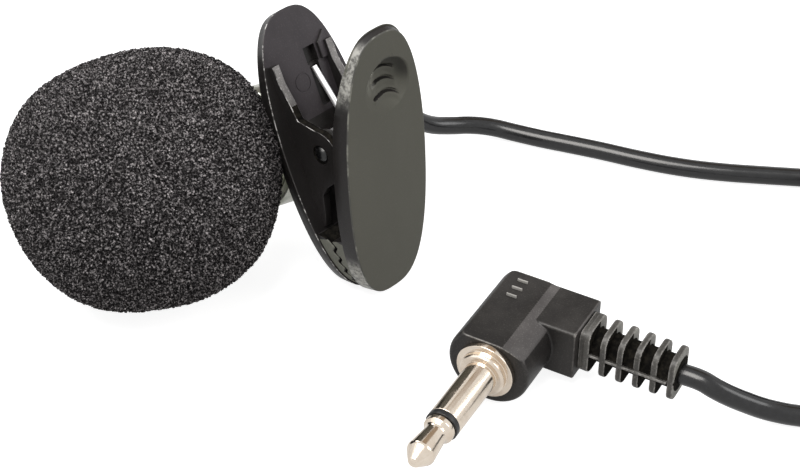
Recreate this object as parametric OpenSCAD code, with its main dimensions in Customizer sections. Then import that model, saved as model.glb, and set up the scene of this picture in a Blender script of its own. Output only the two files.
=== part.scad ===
// Lavalier microphone: foam windscreen on a slim metal barrel, a sprung collar clip on a
// swivelling ring, and a thin lead with a right-angle 3.5 mm mono plug.
// Millimetres, +Z up. The clip's pivot pin lies along Y and the front jaw faces +X.

/* [Windscreen] */
// Radius of the foam ball at its widest
foam_r = 14; // [13:0.1:14.2]
// Length from the widest place to the front of the foam
foam_front = 14.8; // [12:0.5:20]
// Length from the widest place towards the open neck, if the ball were whole
foam_back = 14.2; // [12.5:0.1:14.4]
// Radius at which the ball is cut off round the barrel
foam_neck_r = 7.2; // [6.6:0.1:9]
// Distance from the holder ring to the widest place of the foam
foam_seat = 17.1; // [17:0.1:20]

/* [Barrel] */
// Outer radius of the metal barrel
barrel_r = 5.85; // [5:0.05:6.2]
// Wall of the metal barrel
barrel_wall = 0.7; // [0.5:0.05:0.9]
// Length of the barrel in front of the holder ring
barrel_front = 16; // [15:0.5:18]
// Length of the barrel behind the holder ring
barrel_back = 8; // [6:0.5:9]
// Thickness of the grille that closes the front
grille_t = 0.7; // [0.5:0.1:1.2]
// Height of the grille above the barrel's front edge
grille_rise = 1.7; // [1.2:0.1:2.5]
// Radius of the grille's sound holes
grille_hole_r = 0.55; // [0.3:0.05:0.7]
// Number of sound holes round the middle one
grille_holes = 8; // [4:1:9]
// Thickness of the rear cap's flange
rear_cap_t = 1.4; // [0.8:0.1:2]
// Length of the cable boot behind the cap
boot_l = 7.6; // [5:0.2:9]

/* [Capsule] */
// Wall of the rubber sleeve round the electret capsule
gasket_wall = 0.5; // [0.4:0.05:1.5]
// Length of the capsule's can
can_l = 6.7; // [5:0.1:7]
// Wall of the can
can_wall = 0.3; // [0.2:0.05:0.4]
// Depth of the can below the barrel's front edge
can_sink = 1.4; // [1.3:0.1:2]
// Thickness of the capsule's circuit board
board_t = 0.6; // [0.4:0.1:1]

/* [Clip] */
// Width of each jaw
jaw_w = 12.2; // [11:0.2:14]
// Length of each jaw
jaw_l = 32; // [30:0.5:38]
// Thickness of each jaw's plate
jaw_t = 1.9; // [1.6:0.1:2.6]
// Distance of each jaw's middle below the pivot
jaw_drop = 1.2; // [0:0.1:2]
// Distance from the pivot to each jaw's inner face
jaw_reach = 3.7; // [3.5:0.05:4.2]
// Lean of the rear jaw from upright, in degrees
rear_lean = 24.5; // [22:0.5:26]
// Lean of the front jaw from upright, in degrees
front_lean = 3.5; // [0:0.5:5]
// Outer width of the rear jaw's two ears
ear_span = 8.6; // [8.5:0.1:9]
// Thickness of each ear
ear_t = 0.9; // [0.8:0.05:0.95]
// Radius of the ears round the pivot
ear_r = 2.7; // [2.5:0.05:3]
// Thickness of each of the front jaw's lugs
lug_t = 0.9; // [0.8:0.05:0.95]
// Radius of the front jaw's lugs round the pivot
lug_r = 2.2; // [1.8:0.1:2.4]
// Radius of the pivot pin
pin_r = 0.75; // [0.5:0.05:0.9]
// Pitch of the gripping teeth
tooth_pitch = 1.5; // [1:0.1:2.5]
// Height of the gripping teeth
tooth_h = 0.7; // [0.3:0.1:0.9]
// Distance from the pivot to the first tooth
tooth_start = 9.2; // [8:0.2:11]

/* [Spring] */
// Radius of the spring's wire
wire_r = 0.35; // [0.25:0.01:0.36]
// Mean radius of the spring's curls
curl_r = 1.5; // [1.35:0.05:1.7]
// Distance between the spring's two legs along the pin
curl_span = 3.8; // [3.75:0.05:3.9]
// Distance from the pivot at which the legs end
leg_reach = 7.7; // [7.4:0.1:8]
// Depth of the grooves in which the legs lie
leg_groove = 0.6; // [0.5:0.05:0.8]

/* [Holder] */
// Distance from the pivot to the barrel's axis
holder_reach = 14.8; // [14.6:0.1:17]
// Swivel of the barrel from the line of the pivot pin, in degrees
swivel = 11.8; // [0:0.2:12]
// Width of the holder ring along the barrel
holder_w = 4.4; // [3:0.2:4.6]
// Wall of the holder ring
holder_wall = 1; // [0.8:0.05:1.3]
// Radius of the neck between the ring and the jaw
neck_r = 2.2; // [1.8:0.1:2.2]
// Radius of the swivel rivet
rivet_r = 1.1; // [0.8:0.05:1.3]

/* [Lead] */
// Outside diameter of the lead
lead_d = 2.2; // [1.8:0.1:2.4]
// Gap between the turns of the coil
turn_gap = 0.45; // [0.42:0.01:0.6]
// Mean radius of the coil
coil_r = 12; // [11.5:0.1:12.5]
// Turns in each of the coil's four layers
layer_turns = 3.125; // [3.125]
// Thickness of the tie round the coil
tie_t = 0.35; // [0.2:0.05:0.4]
// Width of the tie
tie_w = 3; // [2:0.5:5]

/* [Plug] */
// Radius of the plug's sleeve
sleeve_r = 1.75; // [1.75]
// Length of the bare sleeve
sleeve_l = 7.65; // [6:0.05:9]
// Length of the tip in front of the insulating ring
tip_l = 5.8; // [5:0.1:7]
// Radius of the tip at its widest
tip_r = 1.57; // [1.5:0.01:1.58]
// Radius of the plug's flange
flange_r = 3.15; // [2.9:0.05:3.6]
// Radius of the moulded body
body_r = 4.5; // [4.2:0.1:5]
// Height of the body's flat top above the plug's axis
body_top = 3.3; // [3.1:0.1:4.4]
// Length of the moulded body from the lead's axis to the flange
body_front = 8.8; // [8:0.1:10]
// Length of the moulded body behind the lead's axis
body_back = 2.9; // [2.7:0.1:5]
// Distance from the plug's axis to the end of the block
block_l = 7.2; // [6:0.1:8]
// Width of the block
block_w = 6.3; // [6:0.1:7]
// Height of the block
block_h = 6; // [5.9:0.1:7]
// Number of ribs on the strain relief
rib_count = 6; // [3:1:6]
// Pitch of the ribs
rib_pitch = 1.83; // [1.5:0.01:1.9]
// Thickness of each rib
rib_t = 0.7; // [0.5:0.05:0.9]
// Height of the ribs
rib_h = 5.5; // [5:0.1:6]
// Width of the first rib
rib_w = 4.6; // [4.2:0.1:5]
// Distance from the plug's axis to the end of the strain relief
relief_l = 17.4; // [17.3:0.1:18.5]

/* [Hidden] */
// Clearances: pieces that turn or slide, pieces that are fixed, and jaws that meet
run = 0.05;
seat = 0.02;
meet = 0.12;
tiny = 0.01;
$fn = 28;

jaw_angle = rear_lean - front_lean;
mid_lean = (rear_lean + front_lean) / 2;
jaw_out = jaw_reach + jaw_t;
bevel_in = 0.7;
bevel_up = 0.5;
rivet_drop = 1.1;

// The rear jaw's lower outer edge stands on the table.
tip_reach = jaw_l / 2 + jaw_drop;
pin_h = (jaw_out - bevel_up) * sin(rear_lean) + tip_reach * cos(rear_lean);

// Axis of the barrel, which points at the windscreen, and points along it.
function from_rear(p) = [p.x * cos(rear_lean) - p.z * sin(rear_lean), p.y,
                         p.x * sin(rear_lean) + p.z * cos(rear_lean) + pin_h];
function on_barrel(t) = from_rear([-holder_reach, -t * cos(swivel), t * sin(swivel) - rivet_drop]);
barrel_dir = on_barrel(1) - on_barrel(0);

// Sizes of the barrel's stack, counted along its axis from the holder ring.
bore_r = barrel_r - barrel_wall;
can_r = bore_r - gasket_wall;
front_end = barrel_front + grille_rise;
can_front = barrel_front - can_sink;
can_back = can_front - can_l;
cap_plug = 2.2;
boot_start = -barrel_back - rear_cap_t - run;
boot_end = boot_start - boot_l;
boot_neck_r = 1.7;
boot_r = 2.4;
boot_flange_r = 2.3;
boot_flange_t = 0.7;
boot_wall = 0.35;
boot_edge = 0.15;
wire_stop = -barrel_back + cap_plug + boot_flange_t + run;
foam_rise = sqrt(1 - pow(foam_neck_r / foam_r, 2));
foam_neck = foam_seat - foam_back * foam_rise;

// Width over the foam and the clip, which centres the part on its origin.
foam_mid = on_barrel(foam_seat);
foam_end = foam_mid.y - norm([foam_front * barrel_dir.y, foam_r * norm([barrel_dir.x, barrel_dir.z])]);
head_lo = [foam_mid.x - foam_r, foam_end];
head_hi = [jaw_out * cos(front_lean) + (tip_reach - bevel_up) * sin(front_lean), on_barrel(boot_end).y + 0.3];
pin_x = -(head_lo.x + head_hi.x) / 2;
pin_y = -(head_lo.y + head_hi.y) / 2;

// The lead's coil, which winds clockwise from above, in four layers.
layer_gap = lead_d + turn_gap;
coil_at = [51.5, 46.4];
coil_from = 133.4;
coil_base = tie_t + 0.1 + lead_d / 2;
coil_turns = 4 * layer_turns;
coil_swing = layer_turns * layer_gap / 2;
loop_rings = 24;
climb = 0.25;
function zigzag(u) = abs(((u / layer_turns + 2) % 2) - 1);
function coil_rad(u) = coil_r - coil_swing + 2 * coil_swing * zigzag(u);
function ease(x) = let (c = min(1, max(0, x))) c * c * (3 - 2 * c);
function coil_lift(u) = layer_gap * (ease((u - layer_turns) / 2 / climb + 0.5)
                      + ease((u - 2 * layer_turns) / 2 / climb + 0.5)
                      + ease((u - 3 * layer_turns) / 2 / climb + 0.5));
function coil_point(u) = let (a = coil_from - 360 * u)
    [coil_at.x + coil_rad(u) * cos(a), coil_at.y + coil_rad(u) * sin(a), coil_base + coil_lift(u)];
coil_steps = round(coil_turns * loop_rings);
function coil_heading(a) = [sin(a), -cos(a), 0];
coil_first = coil_point(0) - lead_d * coil_heading(coil_from);
coil_last = coil_point(coil_turns) + lead_d * coil_heading(coil_from - 360 * coil_turns);
coil_path = concat([coil_first], [for (i = [0 : coil_steps]) coil_point(coil_turns * i / coil_steps)],
                   [coil_last]);

// Route of the lead from the microphone to the coil, measured from the foot of the pivot.
mic_run_path = concat([on_barrel(boot_end), on_barrel(boot_end - lead_d)],
    [[-10.7, 21.1, 5.5], [-9.8, 23.4, 3.7], [-8.7, 25.9, 2.5], [-7.4, 28.2, 1.7], [-5.6, 30.1, 1.3],
     [-3, 31.6, 1.1], [0, 32.9, 1.1], [3.4, 34.4, 1.1], [6.9, 35.9, 1.1], [11.5, 37.7, 1.1],
     [16, 39.8, 1.1], [20.1, 42.3, 1.1], [23.8, 45, 1.1], [27.5, 47.8, 1.1], [31, 50.3, 1.15],
     [34.4, 52.8, 1.3]],
    [coil_first - lead_d * coil_heading(coil_from), coil_first]);

// Place of the plug, and the route of the lead from the coil to it.
plug_at = [22.9, 2.7, body_r];
plug_turn = 14;
function at_plug(p) = plug_at + [p.x * cos(plug_turn) - p.y * sin(plug_turn),
                                 p.x * sin(plug_turn) + p.y * cos(plug_turn), p.z];
plug_run_path = concat([coil_last, coil_last + lead_d * coil_heading(coil_from - 360 * coil_turns)],
    [[58, 29, 8.4], [56.9, 26.1, 6.7], [56.1, 23.3, 4.9], [55.4, 20.6, 3.3], [54.4, 18.1, 2.1],
     [53.2, 16, 1.4], [51.7, 14.3, 1.15], [49.9, 12.9, 1.2], [48.5, 11.9, 1.4], [47.2, 10.9, 1.8],
     [45.9, 9.8, 2.5], [44.6, 8.7, 3.3], [43.3, 7.9, 4]],
    [at_plug([relief_l + lead_d, 0, 0]), at_plug([relief_l + seat, 0, 0])]);

// Sizes inside the plug, along its axis, which runs to -y.
sleeve_from = body_front + 1.5;
sleeve_to = sleeve_from + sleeve_l;
ring_w = 0.6;
tip_from = sleeve_to + ring_w + 2 * seat;
tube_r = 1.15;
rod_r = 0.6;

// The spring's two legs lie in pockets in the jaws, seen from the pivot in the rear jaw's frame.
leg_x = jaw_reach + 0.15;
leg_len = norm([leg_x, leg_reach]);
function turned(x, z, a) = [x * cos(a) + z * sin(a), z * cos(a) - x * sin(a)];
rear_leg = [-leg_x, leg_reach];
front_leg = turned(leg_x, leg_reach, jaw_angle);
leg_lead = acos(curl_r / leg_len);
curl_from = atan2(rear_leg[1], rear_leg[0]) + leg_lead;
curl_turns = 3;
curl_to = atan2(front_leg[1], front_leg[0]) - leg_lead + 360 * (curl_turns + 1);
curl_rings = 8;
curl_steps = round((curl_to - curl_from) / 360 * curl_rings);
leg_y = 1.5;
function curl_point(f) = let (a = curl_from + (curl_to - curl_from) * f)
    [curl_r * cos(a), curl_span * (0.5 - f), curl_r * sin(a)];
spring_path = concat([[rear_leg[0], leg_y, rear_leg[1]]],
    [for (i = [0 : curl_steps]) curl_point(i / curl_steps)], [[front_leg[0], -leg_y, front_leg[1]]]);

echo(coil_least_gap = least_gap(coil_path, lead_d / 2, loop_rings / 2));
echo(spring_least_gap = least_gap(spring_path, wire_r, curl_rings / 2));
echo(lead_length = path_length(mic_run_path) + path_length(coil_path) + path_length(plug_run_path));
echo(mic_run = path_length(mic_run_path), coil = path_length(coil_path));
echo(plug_run = path_length(plug_run_path));

// ---------------------------------------------------------------- paths and tubes

function unit(v) = v / norm(v);
function path_length(p) = [for (i = [1 : len(p) - 1]) norm(p[i] - p[i - 1])] * [for (i = [2 : len(p)]) 1];
function heading(p, i) = unit(unit(p[min(i + 1, len(p) - 1)] - p[min(i, len(p) - 2)])
                            + unit(p[max(i, 1)] - p[max(i - 1, 0)]));
function ring(c, t, side, r, n) = let (u = unit(cross(side, t)), v = cross(t, u))
    [for (k = [0 : n - 1]) c + r * (cos(360 * k / n) * u + sin(360 * k / n) * v)];
function least_gap(p, r, skip) =
    min([for (i = [0 : len(p) - 1 - skip], j = [i + skip : len(p) - 1]) norm(p[i] - p[j])]) - 2 * r;

// A closed tube of n sides along path p. side is a direction that the path never takes.
module tube(p, r, n, side = [0, 0, 1]) {
    last = len(p) - 1;
    points = [for (i = [0 : last]) each ring(p[i], heading(p, i), side, r, n)];
    walls = [for (i = [0 : last - 1], k = [0 : n - 1])
        let (a = i * n + k, b = i * n + (k + 1) % n) each [[a, b, b + n], [a, b + n, a + n]]];
    caps = [for (k = [1 : n - 2]) each [[0, k + 1, k], [last * n, last * n + k, last * n + k + 1]]];
    polyhedron(points, [for (f = concat(walls, caps)) [f[2], f[1], f[0]]]);
}

// ---------------------------------------------------------------- frames

module in_place() {
    translate([pin_x, pin_y, 0]) children();
}

module at_rear() {
    in_place() translate([0, 0, pin_h]) rotate([0, -rear_lean, 0]) children();
}

module at_front() {
    in_place() translate([0, 0, pin_h]) rotate([0, -front_lean, 0]) children();
}

// Along the barrel: z points at the windscreen and x at the jaws.
module at_mic() {
    at_rear() translate([-holder_reach, 0, -rivet_drop]) rotate([90 - swivel, 0, 0]) children();
}

// Along the plug: y points away from the tip and x at the strain relief.
module at_plug_axis() {
    in_place() translate(plug_at) rotate([0, 0, plug_turn]) children();
}

// A flat shape in y and z, drawn out along x.
module upright(x0, x1) {
    translate([x0, 0, 0]) rotate([90, 0, 90]) linear_extrude(x1 - x0) children();
}

// A flat shape in x and z, drawn out along y.
module across(y0, y1) {
    translate([0, y1, 0]) rotate([90, 0, 0]) linear_extrude(y1 - y0) children();
}

module rod(r, z0, z1) {
    translate([0, 0, z0]) cylinder(r = r, h = z1 - z0);
}

module hollow(r_out, r_in, z0, z1) {
    difference() {
        rod(r_out, z0, z1);
        rod(r_in, z0 - 1, z1 + 1);
    }
}

module rod_x(r, x0, x1) {
    rotate([0, 90, 0]) rod(r, x0, x1);
}

module rod_y(r, y0, y1) {
    rotate([-90, 0, 0]) rod(r, y0, y1);
}

module lathe_y(points) {
    rotate([90, 0, 0]) rotate_extrude() polygon(points);
}

// ---------------------------------------------------------------- windscreen and barrel

foam_curve = 14;
module foam_windscreen() {
    back = asin(foam_rise);
    profile = concat(
        [[barrel_r + run, foam_neck]],
        [for (i = [0 : foam_curve]) let (a = -back + back * i / foam_curve)
            [foam_r * cos(a), foam_seat + foam_back * sin(a)]],
        [for (i = [1 : foam_curve - 1]) let (a = 90 * i / foam_curve)
            [foam_r * cos(a), foam_seat + foam_front * sin(a)]],
        [[0, foam_seat + foam_front], [0, front_end + 0.3], [barrel_r + run, front_end + 0.3]]);
    color("dimgray") difference() {
        at_mic() rotate_extrude() polygon(profile);
        translate([-50, -50, -20]) cube([100, 100, 20]);
    }
}

module mic_barrel() {
    groove = 0.25;
    color("silver") at_mic() rotate_extrude() polygon([
        [bore_r, -barrel_back], [barrel_r - groove, -barrel_back], [barrel_r, -barrel_back + groove],
        [barrel_r, barrel_front - groove], [barrel_r - groove, barrel_front], [bore_r, barrel_front]]);
}

module front_grille() {
    skirt = 1.2;
    skirt_wall = 0.5;
    color("silver") at_mic() difference() {
        union() {
            rod(barrel_r - 0.1, barrel_front + seat, front_end);
            rod(bore_r - run, barrel_front - skirt, barrel_front + 2 * seat);
        }
        rod(bore_r - run - skirt_wall, barrel_front - skirt - 1, front_end - grille_t);
        rod(grille_hole_r, front_end - 2, front_end + 1, $fn = 20);
        for (k = [0 : grille_holes - 1]) rotate(360 * k / grille_holes) translate([bore_r * 0.55, 0, 0])
            rod(grille_hole_r, front_end - 2, front_end + 1, $fn = 20);
    }
}

module capsule_can() {
    port_r = 1;
    lip = 0.5;
    color("lightgray") at_mic() rotate_extrude() polygon([
        [port_r, can_front], [can_r, can_front], [can_r, can_back], [can_r - can_wall - lip, can_back],
        [can_r - can_wall - lip, can_back + can_wall], [can_r - can_wall, can_back + can_wall],
        [can_r - can_wall, can_front - can_wall], [port_r, can_front - can_wall]]);
}

module capsule_gasket() {
    color("dimgray") at_mic() hollow(bore_r - seat, can_r + seat, can_back + 1, can_front - 0.6);
}

module capsule_felt() {
    color("black") at_mic() rod(bore_r - 0.8, can_front + seat, can_front + 0.5);
}

stack_r = can_r - can_wall - run;
film_z = can_front - can_wall - seat;
plate_z = film_z - 0.35;
holder_z = plate_z - 0.65;
board_z = can_back + can_wall + seat;

module diaphragm() {
    color("gold") at_mic() difference() {
        rod(stack_r, film_z - 0.3, film_z);
        rod(stack_r - 0.8, film_z - 0.2, film_z + 1);
    }
}

module backplate() {
    color("goldenrod") at_mic() difference() {
        rod(stack_r - 0.2, plate_z - 0.6, plate_z);
        for (k = [0 : 3]) rotate(90 * k) translate([stack_r / 2, 0, 0]) rod(0.4, plate_z - 1, plate_z + 1);
    }
}

module capsule_holder() {
    color("white") at_mic() hollow(stack_r, stack_r - 0.8, board_z + board_t + seat, holder_z);
}

module capsule_board() {
    color("green") at_mic() rod(stack_r, board_z, board_z + board_t);
}

module amplifier_chip() {
    color("black") at_mic() translate([-0.9, -0.7, board_z + board_t + seat]) cube([1.8, 1.4, 1]);
}

pad_x = 1.2;
pad_z = can_back - 0.4;
module solder_pads() {
    color("silver") at_mic() for (s = [-1, 1]) translate([s * pad_x, 0, pad_z])
        cylinder(r1 = 0.35, r2 = 0.7, h = board_z - seat - pad_z);
}

module capsule_leads() {
    color("red") at_mic() for (s = [-1, 1]) translate([s * pad_x, 0, 0]) rod(0.3, wire_stop, pad_z - seat);
}

module rear_cap() {
    color("dimgray") at_mic() difference() {
        union() {
            rod(barrel_r, -barrel_back - rear_cap_t, -barrel_back - seat);
            rod(bore_r - seat, -barrel_back - 2 * seat, -barrel_back + cap_plug);
        }
        rod(boot_neck_r + seat, -barrel_back - rear_cap_t - 1, -barrel_back + cap_plug + 1);
    }
}

module cable_boot() {
    back = -barrel_back + cap_plug + seat;
    boot_tip_r = lead_d / 2 + boot_wall + boot_edge;
    color("dimgray") at_mic() rotate_extrude() polygon([
        [0, boot_end], [boot_tip_r - boot_edge, boot_end], [boot_tip_r, boot_end + 2 * boot_edge],
        [boot_r, boot_start - 2 * boot_wall], [boot_r, boot_start],
        [boot_neck_r, boot_start], [boot_neck_r, back],
        [boot_flange_r, back], [boot_flange_r, back + boot_flange_t], [0, back + boot_flange_t]]);
}

// ---------------------------------------------------------------- clip

washer_t = 0.3;
neck_end = holder_reach - jaw_out - washer_t - 4 * seat;
rivet_root = barrel_r + 1.35;
rivet_head_t = 0.55;

module holder_ring() {
    color("silver") at_mic() difference() {
        union() {
            rod(barrel_r + run + holder_wall, -holder_w / 2, holder_w / 2);
            rod_x(neck_r, barrel_r + holder_wall / 2, neck_end);
        }
        rod(barrel_r + run, -holder_w, holder_w);
        rod_x(rivet_r + seat, rivet_root, neck_end + 1);
    }
}

module swivel_rivet() {
    head_x = holder_reach - jaw_reach + run;
    color("gray") at_mic() {
        rod_x(rivet_r, rivet_root + seat, head_x + rivet_head_t / 2);
        translate([head_x, 0, 0]) rotate([0, 90, 0])
            cylinder(r1 = rivet_r + 0.8, r2 = rivet_r + 0.5, h = rivet_head_t);
    }
}

module swivel_washer() {
    washer_x = neck_end + seat;
    color("gray") at_mic() rotate([0, 90, 0])
        hollow(neck_r + 0.4, rivet_r + run, washer_x, washer_x + washer_t);
}

jaw_curve = 20;
jaw_top_power = 2;
jaw_tip_power = 2.35;
jaw_side_power = 2.9;
function end_power(t) = t > 0 ? jaw_top_power : jaw_tip_power;
function jaw_half(t) = pow(max(0, 1 - pow(abs(t), end_power(t))), 1 / jaw_side_power);
function jaw_edge(inset) = [for (i = [-jaw_curve : jaw_curve]) let (t = sin(90 * i / jaw_curve))
    [(jaw_w / 2 - inset) * jaw_half(t), t * (jaw_l / 2 - inset) - jaw_drop]];
module jaw_outline(inset = 0) {
    half = jaw_edge(inset);
    last = len(half) - 1;
    polygon(concat(half, [for (i = [last - 1 : -1 : 1]) [-half[i].x, half[i].y]]));
}

// A jaw's plate with a bevelled outer edge. Its inner face is at x = jaw_reach.
module jaw_plate() {
    hull() {
        upright(jaw_reach, jaw_out - bevel_up) jaw_outline();
        upright(jaw_out - tiny, jaw_out) jaw_outline(bevel_in);
    }
}

// The zigzag on which the two jaws' teeth meet, seen between the jaws.
tooth_count = floor((tip_reach - 0.4 - tooth_start) / tooth_pitch * 2);
function tooth_line(side) = [for (i = [0 : tooth_count + 1])
    [side * meet / 2 + tooth_h * ((i % 2) - 0.5), -tooth_start - i * tooth_pitch / 2]];
module teeth(side, back_turn) {
    line = tooth_line(side);
    intersection() {
        scale([side, 1, 1]) upright(jaw_reach - 3.6, jaw_reach + 0.1) jaw_outline(0.5);
        rotate([0, back_turn, 0]) across(-jaw_w, jaw_w)
            polygon(concat([[side * 8, line[0].y]], line, [[side * 8, line[len(line) - 1].y]]));
    }
}

// A thumb dimple with three curved grip ribs, at the outer face of a plate on the +x side.
dimple_at = [0.5, 8.3];
dimple_r = 7.2;
dimple_deep = 0.7;
module dimple_cut() {
    translate([jaw_out + dimple_r - dimple_deep, dimple_at.x, dimple_at.y]) sphere(dimple_r);
}
grip_at = [0.1, 8.9];
grip_pitch = 1.45;
grip_half = 1.65;
module dimple_ribs() {
    rib_arc = 3.7;
    rib_line = 0.4;
    for (dz = [-grip_pitch, 0, grip_pitch]) intersection() {
        translate([0, grip_at.x, grip_at.y + dz - rib_arc]) rotate([0, 90, 0])
            hollow(rib_arc + rib_line / 2, rib_arc - rib_line / 2, jaw_out - 1.2, jaw_out - 0.2);
        translate([jaw_out - 2, grip_at.x - grip_half, grip_at.y + dz - 1]) cube([2, 2 * grip_half, 2]);
    }
}

// The groove in a plate's inner face that takes a leg of the spring, and the pocket above it.
pocket_deep = 0.9;
pocket_half = 0.8;
pocket_h = 1.9;
groove_half = 0.65;
groove_from = 3.4;
module leg_pocket(y) {
    translate([jaw_reach - 1, y - pocket_half, leg_reach + 0.4])
        cube([pocket_deep + 1, 2 * pocket_half, pocket_h]);
    translate([jaw_reach - 1, y - groove_half, groove_from])
        cube([leg_groove + 1, 2 * groove_half, leg_reach + 0.1 - groove_from]);
}

module rear_jaw() {
    ear_in = ear_span / 2 - ear_t;
    ear_root = -jaw_reach - 0.1;
    ear_shape = concat(
        [[ear_root, -8.6], [ear_root, 9.9], [-2.95, 9.9], [-2.9, 7.9], [-2.2, 5.4], [-1.9, 3.8]],
        [for (a = [80 : -9 : -55]) ear_r * [cos(a), sin(a)]],
        [[0.6, -3.3], [-0.9, -3.95], [-2, -4.8], [-2.5, -6.5], [-3.3, -8.5]]);
    color("dimgray") at_rear() difference() {
        union() {
            difference() {
                mirror([1, 0, 0]) jaw_plate();
                mirror([1, 0, 0]) dimple_cut();
            }
            mirror([1, 0, 0]) dimple_ribs();
            across(ear_in, ear_span / 2) polygon(ear_shape);
            across(-ear_span / 2, -ear_in) polygon(ear_shape);
            teeth(-1, rear_lean - mid_lean);
        }
        rod_y(pin_r + seat, -jaw_w, jaw_w);
        for (s = [-1, 1]) translate([0, s * ear_span / 2, 0]) rod_y(pin_r + 0.35, -0.25, 0.25);
        translate([0, 0, -rivet_drop]) rod_x(rivet_r + run, -jaw_out - 1, 0);
        mirror([1, 0, 0]) leg_pocket(leg_y);
    }
}

module front_jaw() {
    lug_out = ear_span / 2 - ear_t - 2 * run;
    color("dimgray") at_front() difference() {
        union() {
            difference() {
                jaw_plate();
                dimple_cut();
            }
            dimple_ribs();
            for (y = [-lug_out, lug_out - lug_t]) {
                rod_y(lug_r, y, y + lug_t);
                translate([0, y, -lug_r]) cube([jaw_reach + 0.1, lug_t, 2 * lug_r]);
            }
            teeth(1, front_lean - mid_lean);
        }
        rod_y(pin_r + run, -jaw_w, jaw_w);
        leg_pocket(-leg_y);
    }
}

module pivot_pin() {
    color("black") at_rear() rod_y(pin_r, -ear_span / 2 + 0.15, ear_span / 2 - 0.15);
}

module torsion_spring() {
    color("silver") at_rear() tube(spring_path, wire_r, 6, [0, 1, 0]);
}

// ---------------------------------------------------------------- lead

module lead_mic_run() {
    color("black") in_place() tube(mic_run_path, lead_d / 2, 8);
}

module lead_coil() {
    color("black") in_place() tube(coil_path, lead_d / 2, 6);
}

module lead_plug_run() {
    color("black") in_place() tube(plug_run_path, lead_d / 2, 8);
}

function rounded(w, h, r) = [for (q = [0 : 3], a = [0 : 30 : 90])
    [(q == 0 || q == 3 ? 1 : -1) * (w / 2 - r) + r * cos(90 * q + a),
     (q < 2 ? 1 : -1) * (h / 2 - r) + r * sin(90 * q + a)]];

// A flat tie round all the turns, on the side of the coil away from its ends.
module coil_tie() {
    tie_at = 225;
    w = 2 * coil_swing + lead_d + 0.3;
    h = 3 * layer_gap + lead_d + 0.2;
    color("dimgray") in_place() translate([coil_at.x, coil_at.y, h / 2 + tie_t]) rotate(tie_at)
        translate([coil_r, tie_w / 2, 0]) rotate([90, 0, 0]) linear_extrude(tie_w) difference() {
            polygon(rounded(w + 2 * tie_t, h + 2 * tie_t, 1.5));
            polygon(rounded(w, h, 1.2));
        }
}

// ---------------------------------------------------------------- plug

cavity_r = 2.6;
duct_r = 1.8;

module plug_body() {
    color("dimgray") at_plug_axis() {
        body_shell();
        for (k = [0 : 2]) translate([-1.7, 0.9 - 1.25 * k, body_top - tiny]) cube([1.3, 0.35, 0.25]);
    }
}

module body_shell() {
    round_back = 0.5;
    edge = 0.4;
    recess = 0.6;
    difference() {
        union() {
            lathe_y(concat([[0, body_front], [body_r - edge, body_front], [body_r, body_front - edge]],
                [for (a = [0 : 15 : 90]) [body_r - round_back + round_back * cos(a),
                    -body_back + round_back - round_back * sin(a)]], [[0, -body_back]]));
            upright(0, block_l) polygon(rounded(block_w, block_h, 0.5));
        }
        translate([-body_r - 1, -body_front - 1, body_top])
            cube([2 * body_r + 2, body_front + body_back + 2, body_r]);
        rod_y(cavity_r, -body_front - 1, 1);
        rod_x(duct_r, 0, block_l + 1);
        upright(block_l - recess, block_l + 1) polygon(rounded(block_w - 1.3, block_h - 1.1, 0.4));
    }
}

relief_root = 5.2;
core_r = 1.75;
module plug_strain_relief() {
    first = block_l + 0.3;
    color("dimgray") at_plug_axis() {
        rod_x(core_r, relief_root, relief_l);
        for (k = [0 : rib_count - 1]) upright(first + k * rib_pitch, first + k * rib_pitch + rib_t)
            polygon(rounded(rib_w - 0.12 * k, rib_h - 0.04 * k, 1.2));
        for (s = [-1, 1]) translate([first, s * 1.7 - 0.3, -0.25])
            cube([(rib_count - 1) * rib_pitch, 0.6, 0.5]);
    }
}

module plug_sleeve() {
    shank_r = cavity_r - seat;
    shank_to = 5;
    color("silver") at_plug_axis() lathe_y([
        [tube_r, shank_to], [shank_r, shank_to], [shank_r, body_front + seat], [flange_r, body_front + seat],
        [flange_r, body_front + 0.7], [2.5, body_front + 0.7], [2.5, sleeve_from - 0.2],
        [2.3, sleeve_from], [sleeve_r, sleeve_from], [sleeve_r, sleeve_to], [tube_r, sleeve_to]]);
}

module plug_insulator() {
    tube_end = 4.4;
    color("black") at_plug_axis() lathe_y([
        [rod_r + seat, tube_end], [tube_r - seat, tube_end], [tube_r - seat, sleeve_to + seat],
        [sleeve_r, sleeve_to + seat], [sleeve_r, sleeve_to + seat + ring_w],
        [rod_r + seat, sleeve_to + seat + ring_w]]);
}

module plug_tip() {
    neck = 1.15;
    tip_end = tip_from + tip_l;
    color("silver") at_plug_axis() lathe_y([
        [0, 4], [rod_r, 4], [rod_r, tip_from], [tip_r - 0.1, tip_from], [tip_r, tip_from + 0.1],
        [tip_r, tip_from + 0.9], [neck + 0.05, tip_from + 1.15], [neck, tip_from + 2.1],
        [tip_r, tip_end - 2.3], [tip_r, tip_end - 1.6],
        [0.75, tip_end - 0.25], [0.4, tip_end], [0, tip_end]]);
}

lug_y = 4.96;
module plug_lug() {
    color("goldenrod") at_plug_axis() difference() {
        union() {
            rod_y(cavity_r - 0.2, -lug_y, -lug_y + 0.3);
            translate([1.2, -lug_y, 0.5]) cube([0.9, 2, 0.3]);
        }
        rod_y(tube_r + run, -lug_y - 1, -lug_y + 1);
    }
}

module plug_wires() {
    r = 0.3;
    tip_wire_y = -0.7;
    lug_wire_y = 0.2;
    lug_wire = [1.65, 1.15];
    color("red") at_plug_axis() {
        translate([0, tip_wire_y, 0]) rod_x(r, -r, relief_root - run);
        rod_y(r, -4 + run, tip_wire_y);
        translate([0, lug_wire_y, lug_wire.y]) rod_x(r, lug_wire.x - r, relief_root - run);
        translate([lug_wire.x, 0, lug_wire.y]) rod_y(r, -lug_y + 0.6, lug_wire_y);
    }
}

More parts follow.
